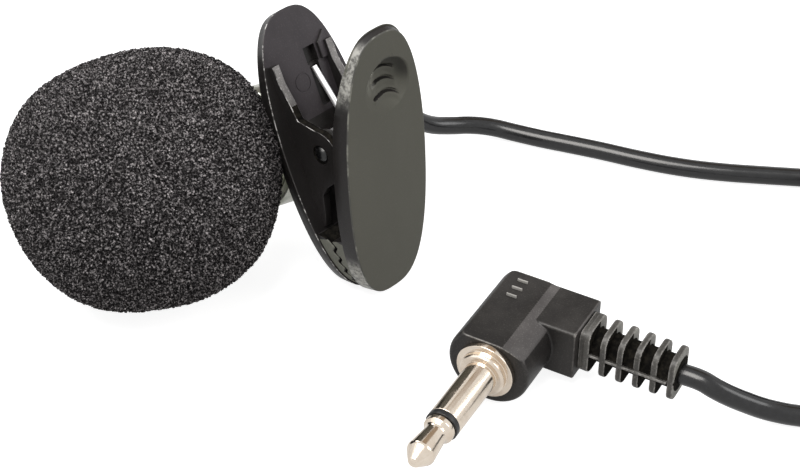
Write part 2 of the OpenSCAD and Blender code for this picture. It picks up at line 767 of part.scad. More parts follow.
foam_windscreen();
mic_barrel();
front_grille();
capsule_can();
capsule_gasket();
capsule_felt();
diaphragm();
backplate();
capsule_holder();
capsule_board();
amplifier_chip();
solder_pads();
capsule_leads();
rear_cap();
cable_boot();
holder_ring();
swivel_rivet();
swivel_washer();
rear_jaw();
front_jaw();
pivot_pin();
torsion_spring();
lead_mic_run();
lead_coil();
lead_plug_run();
coil_tie();
plug_body();
plug_strain_relief();
plug_sleeve();
plug_insulator();
plug_tip();
plug_lug();
plug_wires();
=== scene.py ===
"""Dresses the lavalier microphone: foam windscreen, collar clip, barrel, lead and 3.5 mm plug.

Pieces are shaped in millimetres in the clip's, the barrel's or the plug's own frame, then placed.
"""

import math

import bmesh
import bpy
import numpy as np
from mathutils import Matrix, Vector


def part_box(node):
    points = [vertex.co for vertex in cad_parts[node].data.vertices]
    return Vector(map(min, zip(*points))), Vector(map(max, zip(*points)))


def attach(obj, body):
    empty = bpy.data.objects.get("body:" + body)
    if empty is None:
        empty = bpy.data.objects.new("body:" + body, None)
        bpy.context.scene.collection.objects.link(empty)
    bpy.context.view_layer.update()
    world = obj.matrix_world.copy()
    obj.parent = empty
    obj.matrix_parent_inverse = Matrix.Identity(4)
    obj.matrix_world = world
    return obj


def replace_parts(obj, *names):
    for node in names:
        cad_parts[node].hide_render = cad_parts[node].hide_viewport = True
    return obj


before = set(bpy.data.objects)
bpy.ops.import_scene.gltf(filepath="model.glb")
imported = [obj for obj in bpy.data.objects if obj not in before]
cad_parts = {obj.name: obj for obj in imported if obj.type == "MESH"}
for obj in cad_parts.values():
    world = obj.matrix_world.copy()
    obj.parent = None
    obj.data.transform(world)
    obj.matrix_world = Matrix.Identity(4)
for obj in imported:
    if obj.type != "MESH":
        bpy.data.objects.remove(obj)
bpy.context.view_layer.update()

MM = 0.001

# ------------------------------------------------------------------ sizes, in millimetres and degrees

JAW_W, JAW_L, JAW_DROP = 12.2, 32, 1.2
JAW_IN, JAW_OUT = 3.7, 5.6
REAR_LEAN, FRONT_LEAN = 24.5, 3.5
RIVET_DROP = 1.1
DIMPLE_Y, DIMPLE_Z, DIMPLE_W, DIMPLE_H = 0.6, 8.3, 3.2, 3.1
EAR_OUT, EAR_T, EAR_R = 4.3, 0.9, 2.7
LUG_OUT, LUG_T, LUG_R = 3.3, 0.9, 2.2
PIN_R = 0.75
TOOTH_START, TOOTH_PITCH, TOOTH_H = 9.2, 1.5, 0.5
LEG_Y, LEG_X, LEG_REACH = 1.5, 3.85, 7.7
WIRE_R, CURL_R, CURL_SPAN, CURL_TURNS = 0.35, 1.5, 3.8, 3

HOLDER_REACH, SWIVEL, HOLDER_W = 14.8, 11.8, 4.4
BARREL_R, BORE_R, BARREL_FRONT = 5.85, 5.15, 16
BOOT_END = -17.05
FOAM_R, FOAM_FRONT, FOAM_BACK, FOAM_SEAT, FOAM_NECK_R = 14, 14.8, 14.2, 17.1, 7.2
CELL, CELL_DEPTH = 0.36, 0.42
FOAM_QUADS, FOAM_QUADS_QUICK = 190, 110  # along each side of a cube drawn out to the ball

LEAD_D = 2.2
COIL_AT, COIL_FROM, COIL_R, COIL_BASE = (51.5, 46.4), 133.4, 12, 1.55
LAYER_TURNS, LAYER_GAP = 3.125, 2.65

PLUG_AT, PLUG_TURN = (22.9, 2.7, 4.5), 14
BODY_R, BODY_TOP, BODY_FRONT, BODY_BACK = 4.5, 3.3, 8.8, 2.9
BLOCK_L, BLOCK_W, BLOCK_H = 7, 6.4, 6
RIBS, RIB_PITCH, RIB_T, RIB_H, RIB_W, RIB_FIRST = 6, 1.83, 0.7, 5.5, 4.6, 7.5
RELIEF_L = 17.4
SLEEVE_R, SLEEVE_FROM, SLEEVE_TO, TIP_FROM, TIP_L = 1.75, 10.3, 17.95, 18.59, 5.8
FLANGE_R = 3.15
PLUG_VOXEL = 0.08

MERGE, SLIVER = 2e-7, 1e-7  # in metres: points this close are one, edges this short are dropped

# ------------------------------------------------------------------ frames


def turned(axis, degrees):
    return Matrix.Rotation(math.radians(degrees), 4, axis)


def moved(x, y, z):
    return Matrix.Translation((x, y, z))


pin_low, pin_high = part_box("pivot_pin")
PIN = (pin_low + pin_high) / 2 / MM
FOOT = Vector((PIN.x, PIN.y, 0))
TO_METRES = Matrix.Scale(MM, 4)
IN_PLACE = TO_METRES @ Matrix.Translation(FOOT)
AT_REAR = TO_METRES @ Matrix.Translation(PIN) @ turned("Y", -REAR_LEAN)
AT_FRONT = TO_METRES @ Matrix.Translation(PIN) @ turned("Y", -FRONT_LEAN)
AT_MIC = AT_REAR @ moved(-HOLDER_REACH, 0, -RIVET_DROP) @ turned("X", 90 - SWIVEL)
AT_PLUG = IN_PLACE @ moved(*PLUG_AT) @ turned("Z", PLUG_TURN)
ACROSS_MIC = AT_MIC @ turned("Y", 90)
ALONG_PLUG = AT_PLUG @ turned("X", 90)


# ------------------------------------------------------------------ node trees


class Value:
    """A socket of a node tree. Arithmetic on it adds Math nodes."""

    def __init__(self, tree, socket):
        self.tree = tree
        self.socket = socket

    def math(self, operation, *others, clamp=False):
        settings = {"operation": operation, "use_clamp": clamp}
        return self.tree.add("ShaderNodeMath", dict(enumerate((self, *others))), settings)

    def __add__(self, other):
        return self.math("ADD", other)

    def __sub__(self, other):
        return self.math("SUBTRACT", other)

    def __rsub__(self, other):
        return (self * -1) + other

    def __mul__(self, other):
        return self.math("MULTIPLY", other)

    def __truediv__(self, other):
        return self.math("DIVIDE", other)

    def __rtruediv__(self, other):
        return (self ** -1) * other

    def __pow__(self, other):
        return self.math("POWER", other)

    __radd__ = __add__
    __rmul__ = __mul__

    def ramp(self, low, high, start=0.0, end=1.0):
        """Rises smoothly from start to end while the value goes from low to high."""
        inputs = {"Value": self, "From Min": low, "From Max": high, "To Min": start, "To Max": end}
        return self.tree.add("ShaderNodeMapRange", inputs, {"interpolation_type": "SMOOTHSTEP"})


class Tree:
    """Adds nodes to a node tree, each with its settings first and then its sockets."""

    def __init__(self, nodes):
        self.nodes = nodes

    def add(self, kind, inputs=None, settings=None, out=0):
        node = self.nodes.nodes.new(kind)
        for name, value in (settings or {}).items():
            setattr(node, name, value)
        for name, value in (inputs or {}).items():
            if isinstance(value, Value):
                self.nodes.links.new(value.socket, node.inputs[name])
            else:
                node.inputs[name].default_value = value
        return Value(self, node.outputs[out]) if len(node.outputs) else None


def tone(red, green, blue):
    """A colour given as screen values from 0 to 255, as the shader wants it."""
    shares = (channel / 255 for channel in (red, green, blue))
    return (*(s / 12.92 if s < 0.04045 else ((s + 0.055) / 1.055) ** 2.4 for s in shares), 1)


class Finish(Tree):
    """A surface finish. Patterns are sized in millimetres and lie in the object's own space."""

    def __init__(self, name):
        self.material = bpy.data.materials.new(name)
        self.material.use_nodes = True
        super().__init__(self.material.node_tree)
        self.nodes.nodes.clear()
        self.place = self.add("ShaderNodeTexCoord", out="Object")

    def grain(self, size, detail=3.0, rough=0.55, stretch=None):
        place = self.place
        if stretch:
            place = self.add("ShaderNodeMapping", {"Vector": place, "Scale": stretch})
        inputs = {"Vector": place, "Scale": 1 / (size * MM), "Detail": detail, "Roughness": rough}
        return self.add("ShaderNodeTexNoise", inputs)

    def cells(self, size, feature, out="Distance"):
        inputs = {"Vector": self.place, "Scale": 1 / (size * MM)}
        return self.add("ShaderNodeTexVoronoi", inputs, {"feature": feature}, out)

    def mix(self, share, first, second):
        return self.add("ShaderNodeMix", {0: share, 6: first, 7: second}, {"data_type": "RGBA"}, 2)

    def bump(self, height, depth):
        return self.add("ShaderNodeBump", {"Height": height, "Strength": 1, "Distance": depth * MM})

    def done(self, colour, rough, normal, metallic=0.0, specular=0.5):
        inputs = {"Base Color": colour, "Roughness": rough, "Normal": normal, "Metallic": metallic,
                  "Specular IOR Level": specular}
        return self.surface(self.add("ShaderNodeBsdfPrincipled", inputs, out="BSDF"))

    def surface(self, shader):
        self.add("ShaderNodeOutputMaterial", {"Surface": shader})
        return self.material


# ------------------------------------------------------------------ finishes


def open_cell_foam():
    """Black foam: short curved struts between dark pores, with painted light on the struts and painted
    glints here and there.
    """
    f = Finish("open_cell_foam")
    struts = f.cells(0.44, "DISTANCE_TO_EDGE").ramp(0.02, 0.26, 1.0, 0.0)
    gate = f.grain(0.3, 2, 0.6).ramp(0.5, 0.6)
    painted_glints = f.cells(0.27, "F1").ramp(0.14, 0.5, 1.0, 0.0) * f.cells(0.27, "F1", "Color").ramp(0.52, 0.7)
    fine = f.grain(0.2, 3, 0.7).ramp(0.46, 0.64)
    patch = f.grain(1.6, 2, 0.5).ramp(0.3, 0.7, 0.75, 1.2)
    # painted light: lit struts and glints painted into the colour, near white over the black
    foam_painted_light = (struts * gate * 0.42 + painted_glints * 0.72 + fine * 0.12) * patch
    colour = f.mix(foam_painted_light.math("MULTIPLY", 1.0, clamp=True), tone(17, 15, 16), tone(248, 240, 240))
    return f.done(colour, 0.9, f.bump(struts * 0.7 + fine * 0.6, 0.16), specular=0.1)


def moulded_plastic(name, colour, light, rough, texture, depth, painted_highlight_tone=None):
    """Satin black moulding with a fine eroded texture and faint flow marks.

    With a painted highlight tone, it gets painted highlights where the piece's bend attribute is above zero,
    and painted shade below zero.
    """
    f = Finish(name)
    fine = f.grain(texture, 4, 0.65)
    flow = f.grain(5, 3, 0.6, (1, 1, 0.35)).ramp(0.35, 0.7)
    specks = f.grain(0.17, 2, 0.6).ramp(0.54, 0.74)
    base = f.mix(flow * 0.45 + specks * 0.55, colour, light)
    if painted_highlight_tone:
        # painted highlight where the bend attribute is above zero, painted shade towards near black below
        # zero
        bend = f.add("ShaderNodeAttribute", settings={"attribute_name": "bend"}, out="Fac")
        painted_highlight = bend.ramp(0.03, 0.22) * f.grain(0.5, 3, 0.6).ramp(0.34, 0.62, 0.25, 1.0)
        base = f.mix(painted_highlight, f.mix(bend.ramp(-0.2, -0.04, 0.75, 0.0), base, tone(8, 8, 8)), painted_highlight_tone)
    gloss = flow * 0.06 + fine * 0.12 + (rough - 0.09)
    return f.done(base, gloss, f.bump(fine + specks * 0.3, depth), specular=0.25)


def painted_edge_highlight(name, dark, bright, size):
    """An edge with painted highlights here and there."""
    f = Finish(name)
    # painted highlight: bright broken patches along the edge
    broken = f.grain(size, 3, 0.6).ramp(0.46, 0.62)
    return f.done(f.mix(broken, dark, bright), 0.45, f.bump(broken, 0.01), specular=0.4)


def bright_metal(name, colour, shade, rough, depth=0.002):
    """Plated metal with faint turning marks and handling haze."""
    f = Finish(name)
    haze = f.grain(1.6, 4, 0.6).ramp(0.35, 0.7)
    marks = f.grain(0.12, 2, 0.5)
    return f.done(f.mix(haze, colour, shade), haze * 0.1 + rough, f.bump(marks, depth), metallic=1.0)


def lead_jacket():
    """Glossy black jacket with the slight waviness of extruded plastic."""
    f = Finish("lead_jacket")
    wave = f.grain(1.4, 3, 0.5)
    base = f.mix(f.grain(0.5, 3).ramp(0.4, 0.7), tone(20, 20, 21), tone(30, 30, 31))
    return f.done(base, wave * 0.1 + 0.17, f.bump(wave, 0.006), specular=0.5)


def woven_strap():
    """Hook-and-loop strap: a dense pile of short loops."""
    f = Finish("woven_strap")
    loops = f.cells(0.22, "F1")
    base = f.mix(loops.ramp(0.1, 0.7), tone(44, 44, 47), tone(12, 12, 13))
    return f.done(base, 0.9, f.bump(1 - loops, 0.08), specular=0.2)


def dull_part(name, colour, light, rough, size=0.6, depth=0.01, specular=0.5):
    """An inner piece: one tone with a little mottling and texture."""
    f = Finish(name)
    mottle = f.grain(size, 4, 0.6)
    base = f.mix(mottle.ramp(0.35, 0.7), colour, light)
    return f.done(base, mottle * 0.15 + rough, f.bump(mottle, depth), specular=specular)


FOAM = open_cell_foam()
CLIP = moulded_plastic("clip_moulding", tone(35, 33, 32), tone(50, 47, 47), 0.34, 0.22, 0.012)
# painted light: a lighter copy of the clip moulding for the rear jaw's inner face, which faces up
CLIP_INNER_LIT = moulded_plastic("clip_inner_face_painted_light", tone(60, 56, 58), tone(78, 73, 76), 0.36, 0.22, 0.012)
# painted light: a lit, rough copy of the clip moulding for the ears' upward tops
CLIP_TOP_LIT = moulded_plastic("clip_rough_top_painted_light", tone(106, 103, 102), tone(196, 192, 189), 0.6, 0.18, 0.03)
# the front jaw's moulding, with a painted highlight near its wall's top and a painted reflection near its
# foot
CLIP_WALL = moulded_plastic("clip_wall", tone(35, 33, 32), tone(50, 47, 47), 0.34, 0.22, 0.012,
                            painted_highlight_tone=tone(186, 184, 176))
# painted light: the teeth's sides painted light grey, as lit from the pale floor
CLIP_TEETH_LIT = moulded_plastic("clip_teeth_painted_light", tone(112, 112, 102), tone(140, 140, 130), 0.6, 0.3, 0.02)
# the front face's matt moulding, painted lighter for the light it catches from above, with painted
# highlights and painted shade in its dimple
CLIP_FACE_LIT = moulded_plastic("clip_face", tone(85, 84, 76), tone(93, 92, 84), 0.6, 0.2, 0.01,
                            painted_highlight_tone=tone(122, 121, 112))
# painted highlights along the rear jaw's rims and ears, and along the front face's rim
CLIP_EDGE_HIGHLIGHT = painted_edge_highlight("clip_painted_edge_highlight", tone(70, 67, 66), tone(225, 222, 218), 0.7)
FACE_EDGE_HIGHLIGHT = painted_edge_highlight("face_painted_edge_highlight", tone(72, 71, 66), tone(128, 127, 118), 2.0)
# painted highlights on the moulding's edges and painted shade in its corners, where bent() notes them
PLUG_PLASTIC = moulded_plastic("plug_moulding", tone(34, 32, 31), tone(66, 63, 60), 0.42, 0.3, 0.016,
                               painted_highlight_tone=tone(182, 177, 170))
# painted light: a lighter copy of the plug moulding for the shoulder, which catches more light
PLUG_SHOULDER_LIT = moulded_plastic("plug_shoulder_painted_light", tone(74, 71, 70), tone(112, 108, 106), 0.45, 0.3, 0.016)
# also with painted highlights on edges and painted shade in corners
RIB_FACE = moulded_plastic("rib_face", tone(62, 60, 57), tone(118, 115, 110), 0.42, 0.35, 0.02,
                           painted_highlight_tone=tone(206, 202, 196))
# painted shade: near black for the gaps between the relief's plates, the ears' curved edges and the slopes
# above the teeth
PAINTED_SHADE = dull_part("rib_gap_painted_shade", tone(12, 11, 10), tone(40, 37, 32), 0.85, specular=0.05)
# painted light: the relief plates' end faces painted light grey, as lit
RIB_END_LIT = moulded_plastic("rib_end_painted_light", tone(118, 116, 110), tone(206, 203, 194), 0.5, 0.3, 0.02)
# painted highlight: the grip bars' light tone
GRIP_BAR_HIGHLIGHT = moulded_plastic("grip_bar", tone(150, 147, 142), tone(196, 192, 186), 0.45, 0.3, 0.01)
BOOT_RUBBER = dull_part("boot_rubber", tone(26, 26, 27), tone(34, 34, 35), 0.5)
PIN_STEEL = dull_part("blackened_pin", tone(10, 10, 11), tone(15, 15, 16), 0.2, 1.0, 0.001)
SATIN_METAL = bright_metal("satin_nickel", tone(205, 205, 196), tone(178, 180, 168), 0.26)
NICKEL = bright_metal("polished_nickel", tone(224, 212, 197), tone(212, 198, 182), 0.12, 0.0004)
SPRING_STEEL = bright_metal("spring_steel", tone(252, 252, 252), tone(240, 240, 241), 0.4)
JACKET = lead_jacket()
STRAP = woven_strap()
INSULATOR = dull_part("plug_insulator", tone(18, 18, 19), tone(28, 28, 29), 0.3)


# ------------------------------------------------------------------ making meshes

# A part is a list of points in millimetres, in its piece's own frame, and a list of faces.


def linked(name, data):
    """A new object in the scene."""
    piece = bpy.data.objects.new(name, data)
    bpy.context.scene.collection.objects.link(piece)
    return piece


def closed_mesh(name, part, place):
    """A part's mesh, put in place, with its double points merged and its faces outwards."""
    points, faces = part
    mesh = bpy.data.meshes.new(name)
    mesh.from_pydata([tuple(p) for p in points], [], faces)
    mesh.transform(place)
    shell = bmesh.new()
    shell.from_mesh(mesh)
    bmesh.ops.remove_doubles(shell, verts=shell.verts, dist=MERGE)
    bmesh.ops.dissolve_degenerate(shell, edges=shell.edges, dist=SLIVER)
    bmesh.ops.recalc_face_normals(shell, faces=shell.faces)
    shell.to_mesh(mesh)
    shell.free()
    return mesh


def finished(name, part, place, body, material, replaced=()):
    """A piece from a part, put in place and tied to its body."""
    return dressed(name, closed_mesh(name, part, place), body, material, replaced)


def dressed(name, mesh, body, material, replaced=(), sharp=32):
    """A mesh as a finished piece with its material, body and the nodes it stands for.

    Edges that bend by more than sharp degrees stay sharp, or none where sharp is 0.
    """
    mesh.name = name
    mesh.materials.clear()
    mesh.materials.append(material)
    mesh.shade_smooth()
    if sharp:
        mesh.set_sharp_from_angle(angle=math.radians(sharp))
    piece = linked(name, mesh)
    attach(piece, body)
    if replaced:
        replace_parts(piece, *replaced)
    return piece


def softened(outline, radius, steps=4, closed=False):
    """An outline with each corner rounded by a short curve of about the given radius."""
    points = [np.array(p, float) for p in outline]
    made = []
    for i, corner in enumerate(points):
        if not closed and i in (0, len(points) - 1):
            made.append(corner)
            continue
        before = points[i - 1] - corner
        after = points[(i + 1) % len(points)] - corner
        reach = min(radius, 0.45 * np.linalg.norm(before), 0.45 * np.linalg.norm(after))
        start = corner + before / np.linalg.norm(before) * reach
        end = corner + after / np.linalg.norm(after) * reach
        for step in range(steps + 1):
            t = step / steps
            made.append((1 - t) ** 2 * start + 2 * t * (1 - t) * corner + t * t * end)
    return made


def arc(radius, degrees, centre=(0, 0)):
    """Points at the given angles round a centre."""
    angles = [math.radians(angle) for angle in degrees]
    return [(centre[0] + radius * math.cos(a), centre[1] + radius * math.sin(a)) for a in angles]


def skin_faces(rings, sides, closed):
    """Quads between rings of points. Where it is closed, the last ring joins the first."""
    faces = []
    for i in range(rings if closed else rings - 1):
        j = (i + 1) % rings
        for k in range(sides):
            n = (k + 1) % sides
            faces.append((i * sides + k, i * sides + n, j * sides + n, j * sides + k))
    return faces


def lathe(profile, turns=96):
    """A part from a profile of (radius, height) turned about Z. It closes on itself or on the axis."""
    off_axis = profile[0][0] > 1e-6 or profile[-1][0] > 1e-6
    angles = np.arange(turns) * 2 * math.pi / turns
    points = [(r * math.cos(a), r * math.sin(a), z) for r, z in np.array(profile, float) for a in angles]
    return points, skin_faces(len(profile), turns, off_axis)


def along_x(part):
    """A part made along Z, turned to lie along X."""
    points, faces = part
    return [(z, y, -x) for x, y, z in points], faces


def along_y(part):
    """A part made along Z, turned to lie along Y."""
    points, faces = part
    return [(x, z, -y) for x, y, z in points], faces


def shifted(part, dx, dy, dz):
    """A part moved by so many millimetres."""
    points, faces = part
    return [(x + dx, y + dy, z + dz) for x, y, z in points], faces


def joined(*parts):
    """Several parts as one."""
    points, faces = [], []
    for some_points, some_faces in parts:
        start = len(points)
        points.extend(some_points)
        faces.extend(tuple(start + i for i in face) for face in some_faces)
    return points, faces


def lathed(name, profile, place, body, material, replaced, radius, turns=96):
    """A turned piece, with the corners of its profile rounded."""
    part = lathe(softened(profile, radius), turns)
    return finished(name, part, place, body, material, replaced)


def prism(outline, low, high, order, edge=0.0):
    """A bevelled prism. order says which of (first, second, depth) become x, y and z."""
    shell = bmesh.new()
    ends = []
    for depth in (low, high):
        corners = [(*point, depth) for point in outline]
        ends.append([shell.verts.new([corner[i] for i in order]) for corner in corners])
    shell.faces.new(ends[0])
    shell.faces.new(ends[1])
    count = len(outline)
    for i in range(count):
        j = (i + 1) % count
        shell.faces.new((ends[0][i], ends[0][j], ends[1][j], ends[1][i]))
    bmesh.ops.recalc_face_normals(shell, faces=shell.faces)
    if edge:
        rims = [e for e in shell.edges if e.calc_face_angle(0) > math.radians(30)]
        bmesh.ops.bevel(shell, geom=rims, offset=edge, segments=3, profile=0.5, affect="EDGES")
    shell.verts.index_update()
    made = [tuple(v.co) for v in shell.verts], [tuple(v.index for v in f.verts) for f in shell.faces]
    shell.free()
    return made


ACROSS = (0, 2, 1)
UPRIGHT = (2, 0, 1)
FLAT = (0, 1, 2)


def evaluated(stock):
    """A plain mesh of an object with its modifiers done, after which the object is gone."""
    graph = bpy.context.evaluated_depsgraph_get()
    mesh = bpy.data.meshes.new_from_object(stock.evaluated_get(graph), depsgraph=graph)
    bpy.data.objects.remove(stock)
    return mesh


def shaped(place, part, added, cut=()):
    """The mesh of a part joined with some parts and then cut by others, all in the frame of place."""
    stock = linked("stock", closed_mesh("stock", part, place))
    tools = []
    for operation, parts in (("UNION", added), ("DIFFERENCE", cut)):
        for other in parts:
            tool = linked("tool", closed_mesh("tool", other, place))
            step = stock.modifiers.new(operation.lower(), "BOOLEAN")
            step.operation, step.object, step.solver = operation, tool, "MANIFOLD"
            tools.append(tool)
    mesh = evaluated(stock)
    for tool in tools:
        bpy.data.objects.remove(tool)
    return mesh


def smooth_step(value, low, high):
    """Rises smoothly from 0 to 1 while the value goes from low to high."""
    share = np.clip((value - low) / (high - low), 0, 1)
    return share * share * (3 - 2 * share)


def read(items, name, width, kind=float):
    """A property of all the points or edges of a mesh, with a row for each."""
    values = np.zeros(len(items) * width, kind)
    items.foreach_get(name, values)
    return values.reshape(-1, width)


def note_painted_light(mesh, bend):
    """Stores the bend attribute, which a moulding with a painted highlight tone turns into painted
    highlights above zero and painted shade below.
    """
    mesh.attributes.new("bend", "FLOAT", "POINT").data.foreach_set("value", bend.astype(np.float32))


def painted(piece, place, *finishes):
    """Gives further finishes to the faces that each one's test picks by place and direction in a frame."""
    back = place.inverted()
    for material, chosen in finishes:
        piece.data.materials.append(material)
        slot = len(piece.data.materials) - 1
        for polygon in piece.data.polygons:
            if chosen(back @ polygon.center, (back.to_3x3() @ polygon.normal).normalized()):
                polygon.material_index = slot


def tube(name, path, radius, resolution):
    """A round tube with flat ends along a smooth line through a path's points."""
    curve = bpy.data.curves.new(name, "CURVE")
    curve.dimensions = "3D"
    spline = curve.splines.new("BEZIER")
    spline.bezier_points.add(len(path) - 1)
    for point, at in zip(spline.bezier_points, path):
        point.co = at
        point.handle_left_type = point.handle_right_type = "AUTO"
    spline.resolution_u = resolution
    curve.bevel_depth = radius
    curve.bevel_resolution = 5
    curve.use_fill_caps = True
    return linked(name, curve)


# ------------------------------------------------------------------ windscreen


def foam_profile(share):
    """Radius and height on the foam's skin: 0 at its front, 1 at its neck's edge."""
    back = math.acos(FOAM_NECK_R / FOAM_R)
    angle = math.pi / 2 - share * (math.pi / 2 + back)
    length = np.where(angle > 0, FOAM_FRONT, FOAM_BACK)
    return FOAM_R * np.cos(angle), FOAM_SEAT + length * np.sin(angle)


def cube_sphere(count):
    """Directions spread evenly over a sphere, and the quads between them."""
    steps = np.tan(np.linspace(-math.pi / 4, math.pi / 4, count + 1))
    a, b = np.meshgrid(steps, steps, indexing="ij")
    one = np.ones_like(a)
    sides = [(one, a, b), (-one, b, a), (b, one, a), (a, -one, b), (a, b, one), (b, a, -one)]
    points = np.concatenate([np.stack(side, -1).reshape(-1, 3) for side in sides])
    points /= np.linalg.norm(points, axis=1)[:, None]
    keys = np.round(points * 1e5).astype(np.int64)
    _, first, same = np.unique(keys, axis=0, return_index=True, return_inverse=True)
    same = same.reshape(-1)
    grid = np.arange((count + 1) ** 2).reshape(count + 1, count + 1)
    quad = np.stack([grid[:-1, :-1], grid[1:, :-1], grid[1:, 1:], grid[:-1, 1:]], -1).reshape(-1, 4)
    quads = np.concatenate([quad + side * (count + 1) ** 2 for side in range(6)])
    return points[first], same[quads]


NECK_PATH = [(FOAM_NECK_R, 4.95), (6.9, 4.75), (6.3, 4.75), (5.95, 5.0), (5.9, 8), (5.9, 18), (0, 18)]
# Low swells of the foam: direction in the barrel's frame, width in degrees, height.
SWELLS = [((0, 1, 0.2), 40, -0.35), ((-0.9, 0.2, 0.3), 35, 0.35), ((0.6, -0.8, 0), 30, 0.25),
          ((0.28, 0.76, -0.59), 22, 0.65), ((-0.28, 0.96, 0), 18, -0.25), ((-0.57, 0.68, 0.46), 18, 0.35),
          ((-0.57, -0.27, 0.77), 25, -0.5), ((0.17, -0.98, 0.12), 20, -0.5), ((0.6, -0.62, -0.51), 18, 0.45),
          ((0.66, 0, -0.75), 22, 0.6), ((0.5, 0.45, -0.74), 20, 0.85)]


def cell_tree():
    """Geometry nodes that sink pores of a given size and depth into a skin, along its normals."""
    group = bpy.data.node_groups.new("foam_cells", "GeometryNodeTree")
    for name, kind in (("Skin", "Geometry"), ("Cell", "Float"), ("Depth", "Float")):
        group.interface.new_socket(name, in_out="INPUT", socket_type=f"NodeSocket{kind}")
    group.interface.new_socket("Skin", in_out="OUTPUT", socket_type="NodeSocketGeometry")
    tree = Tree(group)
    entry = group.nodes.new("NodeGroupInput")
    skin, cell, depth = (Value(tree, socket) for socket in entry.outputs[:3])
    place = tree.add("GeometryNodeInputPosition")
    normal = tree.add("GeometryNodeInputNormal")
    scale = 1 / cell
    voronoi = {"Vector": place, "Scale": scale}
    edge = tree.add("ShaderNodeTexVoronoi", voronoi, {"feature": "DISTANCE_TO_EDGE"}, "Distance")
    ragged = tree.add("ShaderNodeTexNoise", {"Vector": place, "Scale": scale * 1.1, "Detail": 3.0})
    pores = edge.ramp(0.03, 0.4)
    height = depth * (1.1 * ragged.ramp(0.32, 0.68) - pores * 0.6 - 0.35)
    shift = tree.add("ShaderNodeVectorMath", {0: normal, "Scale": height}, {"operation": "SCALE"})
    done = tree.add("GeometryNodeSetPosition", {"Geometry": skin, "Offset": shift})
    done = tree.add("GeometryNodeRealizeInstances", {"Geometry": done})
    done = tree.add("GeometryNodeSetMaterial", {"Geometry": done, "Material": FOAM})
    leave = group.nodes.new("NodeGroupOutput")
    group.links.new(done.socket, leave.inputs[0])
    return group


def grown(stock, group, **sizes):
    """Runs a geometry tree on an object and gives the plain mesh."""
    step = stock.modifiers.new("grown", "NODES")
    step.node_group = group
    for item in group.interface.items_tree:
        if item.in_out == "INPUT" and item.name in sizes:
            step[item.identifier] = sizes[item.name]
    return evaluated(stock)


def foam_windscreen(count):
    """The foam ball: an even skin with low swells, a flat foot, a bore for the barrel and open cells."""
    directions, quads = cube_sphere(count)
    polar = np.arccos(np.clip(directions[:, 2], -1, 1))
    azimuth = np.arctan2(directions[:, 1], directions[:, 0])
    neck = math.radians(150)
    radius, height = foam_profile(np.clip(polar / neck, 0, 1))
    inside = polar > neck
    path = np.array(NECK_PATH)
    lengths = np.concatenate([[0], np.cumsum(np.linalg.norm(np.diff(path, axis=0), axis=1))])
    along = np.clip((polar - neck) / (math.pi - neck), 0, 1) ** 1.3 * lengths[-1]
    radius = np.where(inside, np.interp(along, lengths, path[:, 0]), radius)
    height = np.where(inside, np.interp(along, lengths, path[:, 1]), height)
    points = np.stack([radius * np.cos(azimuth), radius * np.sin(azimuth), height], 1)
    swell = np.zeros(len(points))
    for direction, width, rise in SWELLS:
        toward = directions @ (np.array(direction) / np.linalg.norm(direction))
        swell += rise * np.exp(-((np.arccos(np.clip(toward, -1, 1)) / math.radians(width)) ** 2))
    points += directions * (swell * smooth_step(polar, neck * 0.99, neck * 0.9))[:, None]
    mesh = bpy.data.meshes.new("skin")
    mesh.from_pydata(points.tolist(), [], quads.tolist())
    mesh.transform(AT_MIC)
    settle(mesh)
    mesh.shade_smooth()
    mesh = grown(linked("skin", mesh), cell_tree(), Cell=CELL * MM, Depth=CELL_DEPTH * MM)
    settle(mesh)
    piece = dressed("windscreen_foam", mesh, "windscreen", FOAM, ["foam_windscreen"], sharp=0)
    return piece


def settle(mesh):
    """Presses what is below the table flat on it."""
    places = read(mesh.vertices, "co", 3, np.float32)
    places[:, 2] = np.maximum(places[:, 2], 0)
    mesh.vertices.foreach_set("co", places.ravel())
    mesh.update()


# ------------------------------------------------------------------ barrel and ring


def barrel_pieces():
    """The tube, its rolled front edge, the cap and the boot."""
    barrel = [(BORE_R, -8), (5.6, -8), (BARREL_R, -7.75), (BARREL_R, 3.1), (5.7, 3.2), (5.7, 3.5),
              (BARREL_R, 3.6), (BARREL_R, 15.75), (5.6, BARREL_FRONT), (BORE_R, BARREL_FRONT)]
    cap = [(1.72, -9.4), (5.3, -9.4), (BARREL_R, -9.0), (BARREL_R, -8.02), (5.13, -8.02), (5.13, -5.8),
           (1.72, -5.8)]
    boot = [(0, BOOT_END), (1.45, BOOT_END), (1.6, -16.75), (1.75, -15.2), (1.95, -15), (1.95, -14.4),
            (1.8, -14.2), (1.95, -13), (2.15, -12.8), (2.15, -12.2), (2.0, -12), (2.2, -10.9), (2.4, -10.5),
            (2.4, -9.45), (1.7, -9.45), (1.7, -5.78), (2.3, -5.78), (2.3, -5.08), (0, -5.08)]
    lathed("barrel_tube", barrel, AT_MIC, "microphone", SATIN_METAL, ["mic_barrel"], 0.12)
    lathed("barrel_cap", cap, AT_MIC, "microphone", BOOT_RUBBER, ["rear_cap"], 0.3)
    lathed("lead_boot", boot, AT_MIC, "microphone", BOOT_RUBBER, ["cable_boot"], 0.2)


def clip_ring():
    """The sprung metal ring round the barrel with the neck that the clip swivels on."""
    edge = HOLDER_W / 2
    band = [(5.9, -edge), (6.75, -edge), (6.9, -edge + 0.2), (6.9, edge - 0.2), (6.75, edge), (5.9, edge)]
    ring = lathe(softened(band, 0.15, closed=True))
    neck = lathe(softened([(0, 6.3), (2.2, 6.3), (2.2, 8.5), (1.95, 8.8), (0, 8.82)], 0.12), 64)
    bore = lathe([(0, 7.2), (1.12, 7.2), (1.12, 9.5), (0, 9.5)], 48)
    mesh = shaped(AT_MIC, ring, [along_x(neck)], [along_x(bore)])
    dressed("clip_ring", mesh, "holder", SATIN_METAL, ["holder_ring"])


